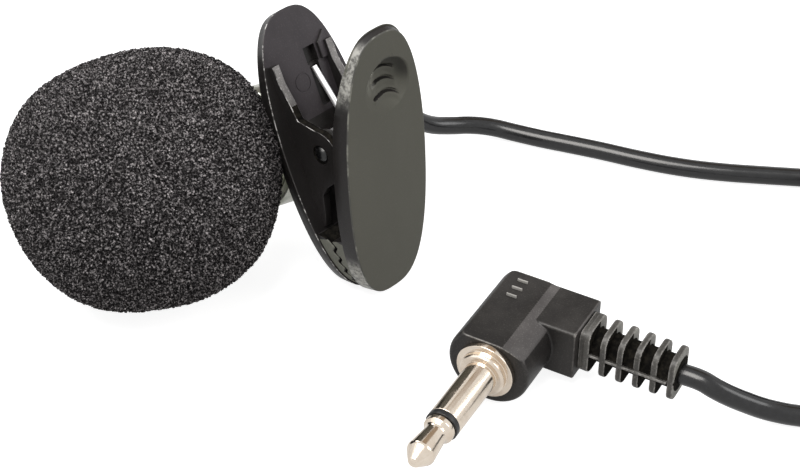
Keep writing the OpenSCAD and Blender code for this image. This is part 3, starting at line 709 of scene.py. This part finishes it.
def swivel_pieces():
    """The rivet that the clip swivels on and the washer under its jaw."""
    rivet = [(0, 7.22), (1.1, 7.22), (1.1, 11.15), (1.9, 11.15), (1.9, 11.3), (1.6, 11.7), (0, 11.7)]
    washer = [(1.16, 8.85), (2.6, 8.85), (2.6, 9.15), (1.16, 9.15)]
    lathed("clip_rivet", rivet, ACROSS_MIC, "holder", SATIN_METAL, ["swivel_rivet"], 0.15, 64)
    lathed("clip_washer", washer, ACROSS_MIC, "holder", SATIN_METAL, ["swivel_washer"], 0.06, 64)


# ------------------------------------------------------------------ clip

FACE_INSET, BACK_INSET, EDGE_R = 0.46, 0.12, 0.15
FACE_DEPTH = 1.6  # how far below the outer face its dimple reaches, with room to spare


def jaw_half(t):
    """Half of a jaw's width as a share, at share t of its half length."""
    power = np.where(np.asarray(t) > 0, 2, 2.35)
    return np.maximum(0, 1 - np.abs(t) ** power) ** (1 / 2.9)


def jaw_rows():
    """Places along a jaw, as shares of its half length, close together where the dimple lies."""
    coarse = np.sin(np.linspace(-math.pi / 2, math.pi / 2, 89))
    ends = [math.sin(math.pi / 2 * s) for s in (0.985, 0.993, 0.998)]
    around = np.arange(DIMPLE_Z - DIMPLE_H - 0.2, DIMPLE_Z + DIMPLE_H + 0.2, 0.055)
    fine = [(z + JAW_DROP) / (JAW_L / 2) for z in around]
    rows = [s for s in coarse if not fine[0] < s < fine[-1]] + fine + ends + [-e for e in ends]
    return np.array(sorted(set(np.round(rows, 6))))


def in_dimple(y, z):
    """A place on a jaw as shares of the dimple's half width and height, and how far out it is."""
    dy, dz = (y - DIMPLE_Y) / DIMPLE_W, (z - DIMPLE_Z) / DIMPLE_H
    return dy, dz, np.hypot(dy, dz)


def dimple_height(y, z, dip, bowl):
    """Height of a jaw's outer face in its thumb dimple, with three ledges, each with a groove above it.

    One corner is deeper by dip. A higher bowl gives a flatter floor and steeper sides.
    """
    dy, dz, reach = in_dimple(y, z)
    depth = 0.12 + dip * smooth_step(dy * 0.66 + dz * 0.75, -0.8, 0.45)
    height = -depth * (1 - np.minimum(reach, 1) ** bowl)
    for ledge in (7.35, 8.75, 10.2):
        above = np.hypot(y + 0.2, z - ledge + 4) - 4
        ends = smooth_step(y, -1.5, -1.1) * smooth_step(y, 2.7, 2.1) * (z > ledge - 2)
        crest = 0.16 * smooth_step(above, -0.7, -0.05) * smooth_step(above, 0.12, 0.0)
        groove = 0.24 * smooth_step(above, 0.0, 0.12) * smooth_step(above, 0.36, 0.22)
        height = height + (crest - groove) * ends
    return height


def jaw_plate(side):
    """A jaw's plate as a part: the outer face with its dimple, rounded rims, the inner face.

    side is 1 for the front jaw, which is hollowed inside near its top, and -1 for the rear one.
    """
    rows = jaw_rows()[:, None]
    fine = np.linspace(-0.66, 0.84, 100)
    columns = np.concatenate([[-1, -0.93, -0.86, -0.79, -0.72], fine, [0.88, 0.92, 0.96, 1]])
    bends = [math.radians(angle) for angle in (17, 34, 51, 68, 84)]
    rim = [(FACE_INSET - EDGE_R * math.sin(a), EDGE_R * (math.cos(a) - 1)) for a in bends] + [(0.16, -0.9)]
    inner_rim = [(0, 0.1), (0.012, 0.05), (0.05, 0.012)]
    section = [(v, FACE_INSET, "face", 0) for v in columns]
    section += [(1, inset, "out", x) for inset, x in rim]
    section += [(1, inset, "in", x) for inset, x in inner_rim]
    section += [(v, BACK_INSET, "in", 0) for v in np.linspace(1, -1, 25)]
    section += [(-1, inset, "in", x) for inset, x in reversed(inner_rim)]
    section += [(-1, inset, "out", x) for inset, x in reversed(rim)]
    across, inset, depth = (np.array([s[i] for s in section], float) for i in (0, 1, 3))
    kind = [s[2] for s in section]
    y = across * (JAW_W / 2 - inset) * jaw_half(rows)
    z = rows * (JAW_L / 2 - inset) - JAW_DROP
    if side > 0:
        lift, drop, hollow = 0.9 * smooth_step(z, 4, 15), 0, dimple_height(y, z, 1.1, 4)
    else:
        lift, drop, hollow = 0, 0.5 * smooth_step(z, 5, 14), 0.55 * dimple_height(y, z, 0.85, 3.2)
    x = np.where([k == "in" for k in kind], JAW_IN + depth + lift, JAW_OUT + depth - drop)
    x = x + np.where([k == "face" for k in kind], hollow, 0)
    points = np.stack([side * x, y, z * np.ones_like(x)], -1).reshape(-1, 3)
    return points.tolist(), skin_faces(len(rows), len(section), False)


def tooth_block(side, turn):
    """A jaw's row of gripping teeth: a wavy block that narrows with the jaw's end."""
    tip = JAW_L / 2 + JAW_DROP
    steps, inset, edge = 12, 0.22, 0.08
    rows = int((tip - 0.4 - TOOTH_START) / TOOTH_PITCH * steps) + 1
    back = side * (JAW_IN + 0.15)
    points = []
    for i in range(rows):
        x = side * 0.21 + TOOTH_H / 2 * math.cos(2 * math.pi * i / steps)
        x += (back - x) * 0.9 * max(0, 1 - i / 7) ** 2
        x, _, z = turned("Y", turn) @ Vector((x, 0, -TOOTH_START - i * TOOTH_PITCH / steps))
        half = float((JAW_W / 2 - inset) * jaw_half((z + JAW_DROP) / (JAW_L / 2 - inset)))
        half = max(half, 0.35)
        rim = x + np.sign(back - x) * edge
        points += [(back, -half, z), (rim, -half, z), (x, -half + edge, z), (x, half - edge, z),
                   (rim, half, z), (back, half, z)]
    last = (rows - 1) * 6
    return points, skin_faces(rows, 6, False) + [tuple(range(6)), tuple(range(last, last + 6))]


def round_bar(radius, low, high):
    """A round bar made along Z."""
    return lathe([(0, low), (radius, low), (radius, high), (0, high)], 48)


def box_part(low, high, edge=0.0):
    """A block between two corners."""
    outline = [(low[0], low[1]), (high[0], low[1]), (high[0], high[1]), (low[0], high[1])]
    return prism(outline, low[2], high[2], FLAT, edge)


def leg_pocket(side, y):
    """The pocket and the groove that take a leg of the spring."""
    def hollow(depth, half, low, high):
        inner, outer = sorted((side * (JAW_IN - 1), side * (JAW_IN + depth)))
        return box_part((inner, y - half, low), (outer, y + half, high))

    return [hollow(0.75, 0.8, LEG_REACH + 0.4, LEG_REACH + 2.3), hollow(0.6, 0.65, 3.4, LEG_REACH + 0.5)]


def tooth_flank(at, facing):
    """Whether a face is the side of a row of teeth."""
    return at.z < -TOOTH_START - 0.3 and abs(at.x) < JAW_IN - 0.02 and abs(facing.y) > 0.6


def tooth_shelf(at, facing):
    """Whether a face is the slope above a row of teeth."""
    return -TOOTH_START - 1.2 < at.z < -TOOTH_START + 0.6 and abs(at.x) < JAW_IN - 0.05 and facing.z > 0.2


def rear_jaw():
    """The rear jaw: plate, two ears, teeth, the spring's pocket and the holes for pin and rivet."""
    root = -JAW_IN - 0.3
    ear = [(root, -8.6), (root, 9.9), (-2.95, 9.9), (-2.9, 7.9), (-2.2, 5.4), (-1.9, 3.8),
           *arc(EAR_R, range(80, -60, -5)), (0.6, -3.3), (-0.9, -3.95), (-2, -4.8), (-2.5, -6.5),
           (-3.3, -8.5)]
    web = [(3.8, 11), (2.6, 9.9), (2.6, 8.1), (4.4, 8.1)]
    added = [prism(ear, low, low + EAR_T, ACROSS, 0.07) for low in (-EAR_OUT, EAR_OUT - EAR_T)]
    added.append(tooth_block(-1, (REAR_LEAN - FRONT_LEAN) / 2))
    added.append(prism(web, -JAW_IN - 0.2, -JAW_IN + 0.35, UPRIGHT, 0.06))
    cut = [along_y(round_bar(PIN_R + 0.02, -8, 8)), *leg_pocket(-1, LEG_Y)]
    cut += [along_y(round_bar(PIN_R + 0.35, y - 0.25, y + 0.25)) for y in (-EAR_OUT, EAR_OUT)]
    ejector_mark = lathe([(0.93, -0.05), (1.05, -0.05), (1.05, 0.05), (0.93, 0.05)], 48)
    cut.append(shifted(along_x(ejector_mark), -JAW_IN, -0.7, 6.7))
    cut.append(shifted(along_x(round_bar(1.15, -7, 0)), 0, 0, -RIVET_DROP))
    mesh = shaped(AT_REAR, jaw_plate(-1), added, cut)
    piece = dressed("jaw_rear", mesh, "clip", CLIP, ["rear_jaw"], 25)

    def ear_top(at, facing):
        on_ear = abs(abs(at.y) - EAR_OUT + EAR_T / 2) < 0.4
        return on_ear and at.z > 5.2 and at.x > -3.2 and facing.x > 0.5 and abs(facing.y) < 0.5

    # painted highlights on the ears' edges and the inner rim
    def painted_highlight(at, facing):
        on_ear = abs(abs(at.y) - EAR_OUT) < 0.09 and at.z > -3 and at.x > -3.4 and facing.x > 0.25
        on_rim = -JAW_IN - 0.12 < at.x < -JAW_IN - 0.002 and abs(at.y) > 1
        return (on_ear or on_rim) and 0.2 < abs(facing.y) + abs(facing.z) * on_rim and 0.15 < facing.x < 0.97

    def shaded(at, facing):
        on_ear = abs(abs(at.y) - EAR_OUT + EAR_T / 2) < 0.42
        on_curve = on_ear and -3.5 < at.z <= 5.2 and at.x > -2.9 and facing.x > 0 and abs(facing.y) < 0.2
        return on_curve or tooth_shelf(at, facing)

    def inner_face(at, facing):
        return facing.x > 0.97 and abs(at.x + JAW_IN) < 0.4 and (at.z > 10 or at.z > 3 and at.y > -EAR_OUT)

    # painted light and shade: lighter inner face, lit ear tops and tooth sides, painted edge highlights,
    # painted shade on the ears' curves and above the teeth
    painted(piece, AT_REAR, (CLIP_INNER_LIT, inner_face), (CLIP_TOP_LIT, ear_top), (PAINTED_SHADE, shaded),
            (CLIP_TEETH_LIT, tooth_flank), (CLIP_EDGE_HIGHLIGHT, painted_highlight))


def front_jaw():
    """The front jaw: plate with a matt face, two lugs, teeth and the spring's pocket."""
    lug = [(JAW_IN + 0.2, LUG_R), *arc(LUG_R, range(90, 271, 10)), (JAW_IN + 0.2, -LUG_R)]
    added = [tooth_block(1, -(REAR_LEAN - FRONT_LEAN) / 2)]
    added += [prism(lug, low, low + LUG_T, ACROSS, 0.1) for low in (-LUG_OUT, LUG_OUT - LUG_T)]
    cut = [along_y(round_bar(PIN_R + 0.05, -8, 8)), *leg_pocket(1, -LEG_Y)]
    mesh = shaped(AT_FRONT, jaw_plate(1), added, cut)
    # painted highlight and reflection on the wall, painted shade in the dimple
    painted_wall_light_and_dimple_shade(mesh)
    piece = dressed("jaw_front", mesh, "front_jaw", CLIP_WALL, ["front_jaw"], 25)

    def face(at, facing):
        return at.x > JAW_OUT - FACE_DEPTH and facing.x > 0.55

    def face_edge(at, facing):
        off_dimple = in_dimple(at.y, at.z)[2] > 1.04
        return off_dimple and at.x > JAW_OUT - EDGE_R and 0.2 < facing.x < 0.93

    # painted light: lighter face, painted highlights on its rim, lit tooth sides
    painted(piece, AT_FRONT, (CLIP_FACE_LIT, face), (FACE_EDGE_HIGHLIGHT, face_edge), (CLIP_TEETH_LIT, tooth_flank))


def painted_wall_light_and_dimple_shade(mesh):
    """Notes the front jaw's painted light: a painted highlight on its wall near the top, a painted
    reflection near its foot, and painted shade in its dimple.
    """
    back = np.array(AT_FRONT.inverted())
    x, y, z = (read(mesh.vertices, "co", 3) @ back[:3, :3].T + back[:3, 3]).T
    # painted highlight near the wall's top and painted reflection of the floor near its foot
    top = smooth_step(z, 6.5, 10.5) * smooth_step(z, 14.6, 13.2)
    foot = smooth_step(z, -9.5, -13.5)
    share = (top + foot) * smooth_step(y, 0.2, -1.2) * (x > JAW_IN - 0.1) * (x < JAW_OUT - 0.1)
    dy, dz, reach = in_dimple(y, z)
    # painted shade: a dark crescent on the dimple's upper side
    dimple_painted_shade = smooth_step((dy * 0.66 + dz * 0.75) / (reach + 0.01), 0.1, 0.85)
    dimple_painted_shade *= smooth_step(reach, 0.3, 0.88) * smooth_step(reach, 1.0, 0.95) * (x > JAW_OUT - FACE_DEPTH)
    note_painted_light(mesh, share * 0.22 - dimple_painted_shade * 0.16)


def pivot_pin():
    """The pin with a low domed head in each ear's recess."""
    head = [(0.98 * math.sin(a), 0.8 * math.cos(a) - 0.5) for a in np.linspace(0, 1.25, 9)]
    head += [(0.96, -0.23), (PIN_R, -0.23)]
    profile = [(r, -EAR_OUT - h) for r, h in head] + [(r, EAR_OUT + h) for r, h in reversed(head)]
    finished("pin", along_y(lathe(profile, 64)), AT_REAR, "clip", PIN_STEEL, ["pivot_pin"])


def spring_wire(name, path, radius, body, replaced=()):
    """A length of the spring's wire, from a path in the rear jaw's frame."""
    mesh = evaluated(tube(name, path, radius, 6))
    mesh.transform(AT_REAR)
    dressed(name, mesh, body, SPRING_STEEL, replaced)


def torsion_spring():
    """Three curls about the pin with the rear leg, and the front leg, which moves with the front jaw."""
    lean = math.radians(REAR_LEAN - FRONT_LEAN)
    rear = (-LEG_X, LEG_REACH)
    front = (LEG_X * math.cos(lean) + LEG_REACH * math.sin(lean),
             LEG_REACH * math.cos(lean) - LEG_X * math.sin(lean))
    lead = math.degrees(math.acos(CURL_R / math.hypot(LEG_X, LEG_REACH)))
    start = math.degrees(math.atan2(rear[1], rear[0])) + lead
    end = math.degrees(math.atan2(front[1], front[0])) - lead + 360 * (CURL_TURNS + 1)
    count = 84
    curls = []
    for i in range(count + 1):
        angle = math.radians(start + (end - start) * i / count)
        curls.append((CURL_R * math.cos(angle), CURL_SPAN * (0.5 - i / count), CURL_R * math.sin(angle)))

    def leg(tip, root, y):
        start = np.array((tip[0], y, tip[1]))
        return [tuple(start * (1 - t) + np.array(root) * t) for t in (0, 0.3, 0.6, 0.85, 0.95)]

    spring_wire("spring", leg(rear, curls[0], LEG_Y) + curls, WIRE_R, "clip", ["torsion_spring"])
    # The front leg starts with some curl inside the coil's end, so that no gap opens as the spring winds up.
    front_path = curls[-5:] + leg(front, curls[-1], -LEG_Y)[::-1]
    spring_wire("spring_front_leg", front_path, WIRE_R * 0.98, "front_jaw")


# ------------------------------------------------------------------ lead


def from_foot(place, x, z):
    """A point of the barrel's or the plug's middle plane, from the foot of the pivot."""
    return tuple(IN_PLACE.inverted() @ (place @ Vector((x, 0, z))))


def coil_point(turn):
    """A point of the coil, which winds in and out again in four layers."""
    swing = LAYER_TURNS * LAYER_GAP / 2
    radius = COIL_R - swing + 2 * swing * abs((turn / LAYER_TURNS + 2) % 2 - 1)
    lift = LAYER_GAP * sum(smooth_step((turn - k * LAYER_TURNS) * 2 + 0.5, 0, 1) for k in (1, 2, 3))
    angle = math.radians(COIL_FROM - 360 * turn)
    return (COIL_AT[0] + radius * math.cos(angle), COIL_AT[1] + radius * math.sin(angle), COIL_BASE + lift)


def lead_route():
    """The lead's points from the boot to the strain relief, from the foot of the pivot."""
    turns = 4 * LAYER_TURNS
    steps = round(turns * 24)
    coil = [coil_point(turns * i / steps) for i in range(steps + 1)]

    def run_out(point, degrees, way):
        """A point straight on from an end of the coil, way times the lead's width away."""
        x, y, z = point
        angle = math.radians(degrees)
        return (x + way * LEAD_D * math.sin(angle), y - way * LEAD_D * math.cos(angle), z)

    into_coil = [run_out(coil[0], COIL_FROM, way) for way in (-2, -1)]
    out_of_coil = [run_out(coil[-1], COIL_FROM - 360 * turns, way) for way in (1, 2)]
    from_mic = [(-10.7, 21.1, 5.1), (-9.8, 23.4, 3.3), (-8.7, 25.9, 2.4), (-7.4, 28.2, 1.95),
                (-5.6, 30.1, 1.55), (-3, 31.6, 1.2), (0, 32.9, 1.1), (3.4, 34.4, 1.1), (6.9, 35.9, 1.1),
                (11.5, 37.7, 1.1), (16, 39.8, 1.1), (20.1, 42.3, 1.1), (23.8, 45, 1.1), (27.5, 47.8, 1.1),
                (31, 50.3, 1.15), (34.4, 52.8, 1.3)]
    to_plug = [(58, 29, 8.4), (56.9, 26.1, 6.7), (56.1, 23.3, 4.9), (55.4, 20.6, 3.3), (54.4, 18.1, 2.1),
               (53.2, 16, 1.4), (51.7, 14.3, 1.15), (49.9, 12.9, 1.2), (48.5, 11.9, 1.4), (47.2, 10.9, 1.8),
               (45.9, 9.8, 2.5), (44.6, 8.7, 3.3), (43.3, 7.9, 4)]
    ends = [from_foot(AT_MIC, 0, BOOT_END), from_foot(AT_MIC, 0, BOOT_END - LEAD_D),
            from_foot(AT_PLUG, RELIEF_L + LEAD_D, 0), from_foot(AT_PLUG, RELIEF_L + 0.02, 0)]
    return [*ends[:2], *from_mic, *into_coil, *coil, *out_of_coil, *to_plug, *ends[2:]]


def lead():
    """The lead as one curve."""
    path = [IN_PLACE @ Vector(point) for point in lead_route()]
    piece = tube("lead", path, LEAD_D / 2 * MM, 4)
    piece.data.materials.append(JACKET)
    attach(piece, "microphone")
    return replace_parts(piece, "lead_mic_run", "lead_coil", "lead_plug_run")


def rounded_box(width, height, radius):
    """Outline of a rectangle with round corners."""
    made = []
    for quarter, (sx, sy) in enumerate(((1, 1), (-1, 1), (-1, -1), (1, -1))):
        centre = (sx * (width / 2 - radius), sy * (height / 2 - radius))
        made += arc(radius, range(90 * quarter, 90 * quarter + 91, 15), centre)
    return made


def coil_tie():
    """A strap round all the turns."""
    nearest, farthest = 8.84, 14.83  # radii of the turns where the strap crosses them
    width, height, thick = farthest - nearest + LEAD_D + 0.2, 3 * LAYER_GAP + LEAD_D + 0.2, 0.35
    band = 1.5  # half the strap's own width
    inner, outer = rounded_box(width, height, 1.2), rounded_box(width + 2 * thick, height + 2 * thick, 1.5)
    section = [(0, -band), (0, band), (0.25, band), (1, band - 0.15), (1, -band + 0.15), (0.25, -band)]
    points = []
    for (ix, iy), (ox, oy) in zip(inner, outer):
        points += [(ix + (ox - ix) * share, depth, iy + (oy - iy) * share) for share, depth in section]
    part = points, skin_faces(len(inner), len(section), True)
    over_coil = IN_PLACE @ moved(*COIL_AT, height / 2 + thick) @ turned("Z", 225)
    place = over_coil @ moved((nearest + farthest) / 2, 0, 0)
    return finished("coil_strap", part, place, "microphone", STRAP, ["coil_tie"])


# ------------------------------------------------------------------ plug


def remeshed(first, added, cut, smooth):
    """Parts in the plug's frame melted into one skin with soft edges."""
    stock = linked("skin", shaped(AT_PLUG, first, added, cut))
    remesh = stock.modifiers.new("even", "REMESH")
    remesh.mode, remesh.voxel_size = "VOXEL", PLUG_VOXEL * MM
    relax = stock.modifiers.new("soft", "SMOOTH")
    relax.factor, relax.iterations = 0.5, smooth
    return bent(evaluated(stock), 2 * PLUG_VOXEL * MM)


def bent(mesh, reach):
    """Notes how far the skin bends at each point: above zero on an edge, below in a corner. The moulding's
    finish turns it into painted highlights on edges and painted shade in corners.
    """
    count = len(mesh.vertices)
    places, normals = (read(mesh.vertices, name, 3) for name in ("co", "normal"))
    first, second = read(mesh.edges, "vertices", 2, np.int64).T
    shares = np.bincount(first, minlength=count) + np.bincount(second, minlength=count)

    def spread(values):
        total = np.bincount(first, values[second], count) + np.bincount(second, values[first], count)
        return total / np.maximum(shares, 1)

    around = places
    for _ in range(3):
        around = np.stack([spread(around[:, axis]) for axis in range(3)], 1)
    note_painted_light(mesh, spread(((places - around) * normals).sum(1) / reach))
    return mesh


def plug_moulding():
    """The moulded right-angle body with its flat top, its round shoulder, its block and three grip bars."""
    profile = [(0, -BODY_BACK), (BODY_R, -BODY_BACK), (BODY_R, BODY_FRONT), (0, BODY_FRONT)]
    points, faces = lathe(softened(profile, 0.5, 6), 128)
    points = [(x, -z, min(y, BODY_TOP - 0.12 * max(0, x - 0.8) ** 1.8)) for x, y, z in points]
    block = prism(rounded_box(BLOCK_W, BLOCK_H, 0.3), 0, BLOCK_L, UPRIGHT, 0.12)
    shank, duct = along_y(round_bar(2.62, -12, 1)), along_x(round_bar(1.82, 0.5, 9))
    mesh = remeshed((points, faces), [block], [shank, duct], 3)
    piece = dressed("plug_moulding", mesh, "microphone", PLUG_PLASTIC, ["plug_body"], 0)

    def shoulder(at, facing):
        return at.x > 0.5 and 0.16 < facing.x < 0.86 and facing.z > 0.4

    # painted light on the shoulder
    painted(piece, AT_PLUG, (PLUG_SHOULDER_LIT, shoulder))
    low, high, half = BODY_TOP - 0.1, BODY_TOP + 0.28, 0.09
    bars = [box_part((-1.8, y - half, low), (-0.65, y + half, high), 0.03) for y in (1.45, 0.12, -1.18)]
    # painted highlight on the grip bars
    finished("plug_grip_bars", joined(*bars), AT_PLUG, "microphone", GRIP_BAR_HIGHLIGHT)
    return piece


def strain_relief():
    """Six rounded plates on a core, joined along their sides."""
    core = along_x(lathe([(0, 5.2), (1.75, 5.2), (1.75, RELIEF_L), (0, RELIEF_L)], 64))
    plates = []
    for k in range(RIBS):
        start = RIB_FIRST + k * RIB_PITCH
        outline = rounded_box(RIB_W - 0.12 * k, RIB_H - 0.04 * k, 1.2)
        plates.append(prism(outline, start, start + RIB_T, UPRIGHT, 0.14))
    foot = prism(rounded_box(RIB_W - 0.2, RIB_H - 0.3, 0.8), BLOCK_L + 0.03, RIB_FIRST + 0.3, UPRIGHT)
    end = RIB_FIRST + (RIBS - 1) * RIB_PITCH
    spines = [box_part((RIB_FIRST, y - 0.28, -0.14), (end, y + 0.28, 0.14), 0.03) for y in (-1.98, 1.98)]
    mesh = remeshed(core, [*plates, foot, *spines], [], 2)
    piece = dressed("strain_relief", mesh, "microphone", RIB_FACE, ["plug_strain_relief"], 0)

    def gap(at, facing):
        return at.x > RIB_FIRST and (math.hypot(at.y, at.z) < 1.95 or abs(facing.x) > 0.8)

    def end_face(at, facing):
        return facing.x > 0.8 and (at.x > end or at.y > 0.4 and at.z > 0.6) and math.hypot(at.y, at.z) > 1.9

    # painted shade in the gaps between the plates, painted light on the plates' end faces
    painted(piece, AT_PLUG, (PAINTED_SHADE, gap), (RIB_END_LIT, end_face))
    return piece


def plug_metal():
    """Sleeve with its collar and flange, insulating ring and tip, along the plug's axis."""
    end = TIP_FROM + TIP_L
    sleeve = [(1.15, 5), (2.58, 5), (2.58, 8.82), (FLANGE_R, 8.82), (FLANGE_R, 9.5), (2.5, 9.5), (2.5, 10.1),
              (2.3, SLEEVE_FROM), (SLEEVE_R, SLEEVE_FROM), (SLEEVE_R, SLEEVE_TO), (1.15, SLEEVE_TO)]
    ring = [(0.62, 4.4), (1.13, 4.4), (1.13, 17.97), (SLEEVE_R, 17.97), (SLEEVE_R, 18.57), (0.62, 18.57)]
    neck = [(1.52, 0), (1.6, 0.1), (1.6, 0.66), (1.3, 0.95), (1.22, 1.2), (1.22, 1.5), (1.5, 4.1),
            (1.42, 4.35)]
    tip = [(0, 4), (0.6, 4), (0.6, TIP_FROM), *((r, TIP_FROM + z) for r, z in neck),
           (0.6, end - 0.2), (0.35, end), (0, end)]
    return [lathed(name, profile, ALONG_PLUG, "microphone", material, [node], radius)
            for name, profile, slot, material, node, radius in (
                ("jack_sleeve", sleeve, "nickel", NICKEL, "plug_sleeve", 0.08),
                ("plug_ring", ring, "insulator", INSULATOR, "plug_insulator", 0.05),
                ("jack_tip", tip, "nickel", NICKEL, "plug_tip", 0.07))]


# ------------------------------------------------------------------ inner pieces


def inner_pieces():
    """Finishes for the pieces inside the barrel, the capsule and the plug."""
    finishes = {
        "front_grille": SATIN_METAL,
        "capsule_can": bright_metal("can_aluminium", tone(200, 202, 204), tone(182, 184, 187), 0.3),
        "capsule_gasket": dull_part("sleeve_rubber", tone(30, 30, 31), tone(40, 40, 41), 0.7),
        "capsule_felt": dull_part("port_felt", tone(12, 12, 13), tone(30, 30, 32), 0.9, 0.15, 0.08),
        "diaphragm": bright_metal("gold_film", tone(212, 175, 88), tone(196, 158, 74), 0.25),
        "backplate": bright_metal("backplate_brass", tone(190, 160, 90), tone(172, 140, 76), 0.3),
        "capsule_holder": dull_part("holder_plastic", tone(215, 213, 205), tone(200, 198, 190), 0.5),
        "capsule_board": dull_part("board_mask", tone(20, 84, 46), tone(32, 102, 58), 0.35),
        "amplifier_chip": dull_part("chip_epoxy", tone(22, 22, 23), tone(34, 34, 35), 0.5),
        "solder_pads": bright_metal("solder", tone(190, 192, 196), tone(160, 162, 168), 0.25),
        "capsule_leads": dull_part("red_insulation", tone(150, 24, 20), tone(170, 36, 28), 0.35),
        "plug_lug": bright_metal("lug_brass", tone(200, 168, 92), tone(180, 148, 78), 0.28),
        "plug_wires": dull_part("wire_insulation", tone(150, 24, 20), tone(170, 36, 28), 0.35),
    }
    for node, material in finishes.items():
        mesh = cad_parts[node].data
        mesh.materials.clear()
        mesh.materials.append(material)


# ------------------------------------------------------------------ stage


def aimed(name, data, place, target):
    """A camera or a lamp at a place, looking at a target."""
    piece = linked(name, data)
    piece.location = place
    piece.rotation_mode = "QUATERNION"
    piece.rotation_quaternion = (Vector(target) - piece.location).to_track_quat("-Z", "Y")
    return piece


def camera():
    """The view from the front right, 38 degrees above the table."""
    lens = bpy.data.cameras.new("camera")
    lens.sensor_width, lens.lens = 36, 78.3
    lens.clip_start, lens.clip_end = 0.01, 20
    place, target = (FOOT + Vector(point) for point in ((108.2, -106.5, 123.1), (-0.15, 7.95, 0)))
    bpy.context.scene.camera = aimed("camera", lens, place * MM, target * MM)


def rays(tree, *names):
    """One for rays of the named kinds, nothing for the others."""
    path = tree.nodes.nodes.new("ShaderNodeLightPath")
    kinds = [Value(tree, path.outputs[f"Is {name} Ray"]) for name in names]
    return sum(kinds[1:], kinds[0]).math("MULTIPLY", 1.0, clamp=True)


def panel(name, middle, across, up, material):
    """A flat panel of the stage, from its middle and two sides."""
    shares = ((-0.5, -0.5), (0.5, -0.5), (0.5, 0.5), (-0.5, 0.5))
    corners = [middle + across * a + up * b for a, b in shares]
    mesh = bpy.data.meshes.new(name)
    mesh.from_pydata(corners, [], [(0, 1, 2, 3)])
    mesh.materials.append(material)
    piece = linked(name, mesh)
    return piece


def stage():
    """A pale floor that keeps a faint shadow, in a white room."""
    f = Finish("pale_floor")
    matt = f.add("ShaderNodeBsdfDiffuse", {"Color": (0.5, 0.5, 0.5, 1)})
    strength = rays(f, "Camera") * 0.87 + rays(f, "Glossy", "Transmission") * 0.4
    glow = f.add("ShaderNodeEmission", {"Strength": strength})
    material = f.surface(f.add("ShaderNodeAddShader", {0: matt, 1: glow}))
    width, below = 6, Vector((0, 0, -0.00002))
    panel("floor", below, Vector((width, 0, 0)), Vector((0, width, 0)), material)
    world = bpy.data.worlds.new("white_room")
    bpy.context.scene.world = world
    world.use_nodes = True
    tree = Tree(world.node_tree)
    world.node_tree.nodes.clear()
    strength = rays(tree, "Camera", "Glossy", "Transmission") * 0.45 + 0.55
    room = tree.add("ShaderNodeBackground", {"Color": (1, 1, 1, 1), "Strength": strength})
    tree.add("ShaderNodeOutputWorld", {"Surface": room})


def lamp(name, place, size, power):
    """A square lamp that looks at the microphone."""
    light = bpy.data.lights.new(name, "AREA")
    light.shape, light.size, light.energy = "SQUARE", size, power
    aimed(name, light, place, (0.02, 0, 0.01))


def screen(name, toward, distance, width, height, colour, strength):
    """A screen out of view, seen in shiny surfaces only."""
    toward = Vector(toward).normalized()
    side = Vector((0, 0, 1)).cross(toward).normalized()
    f = Finish(name)
    material = f.surface(f.add("ShaderNodeEmission", {"Color": colour, "Strength": strength}))
    piece = panel(name, toward * distance, side * width, toward.cross(side) * height, material)
    piece.visible_camera = piece.visible_diffuse = piece.visible_shadow = piece.visible_transmission = False


def lamps():
    """Three soft lamps and four screens for the highlights."""
    lamp("softbox_top", (0.07, -0.27, 0.62), 0.3, 2.2)
    lamp("softbox_left", (-0.5, 0.15, 0.45), 0.3, 1.0)
    lamp("softbox_right", (0.5, 0.35, 0.45), 0.35, 1.5)
    screen("bright_screen", (-0.5, -0.68, 0.54), 0.6, 0.3, 0.34, (1, 1, 1, 1), 1.6)
    screen("lead_screen", (-0.05, -0.5, 0.87), 0.6, 0.4, 0.4, (1, 0.97, 0.93, 1), 10.0)
    screen("warm_screen", (-0.17, 0.66, 0.73), 0.75, 0.36, 0.3, tone(172, 154, 134), 1.0)
    screen("dark_screen", (-0.84, 0.45, 0.33), 0.8, 0.95, 0.6, tone(88, 78, 68), 1.0)


# ------------------------------------------------------------------ all of it

camera()
cord = lead()
tie = coil_tie()
foam_windscreen(FOAM_QUADS)
barrel_pieces()
clip_ring()
swivel_pieces()
rear_jaw()
front_jaw()
pivot_pin()
torsion_spring()
moulding = plug_moulding()
relief = strain_relief()
metal = plug_metal()
inner_pieces()
stage()
lamps()

bpy.context.view_layer.update()

bpy.context.scene.view_settings.view_transform = "Standard"
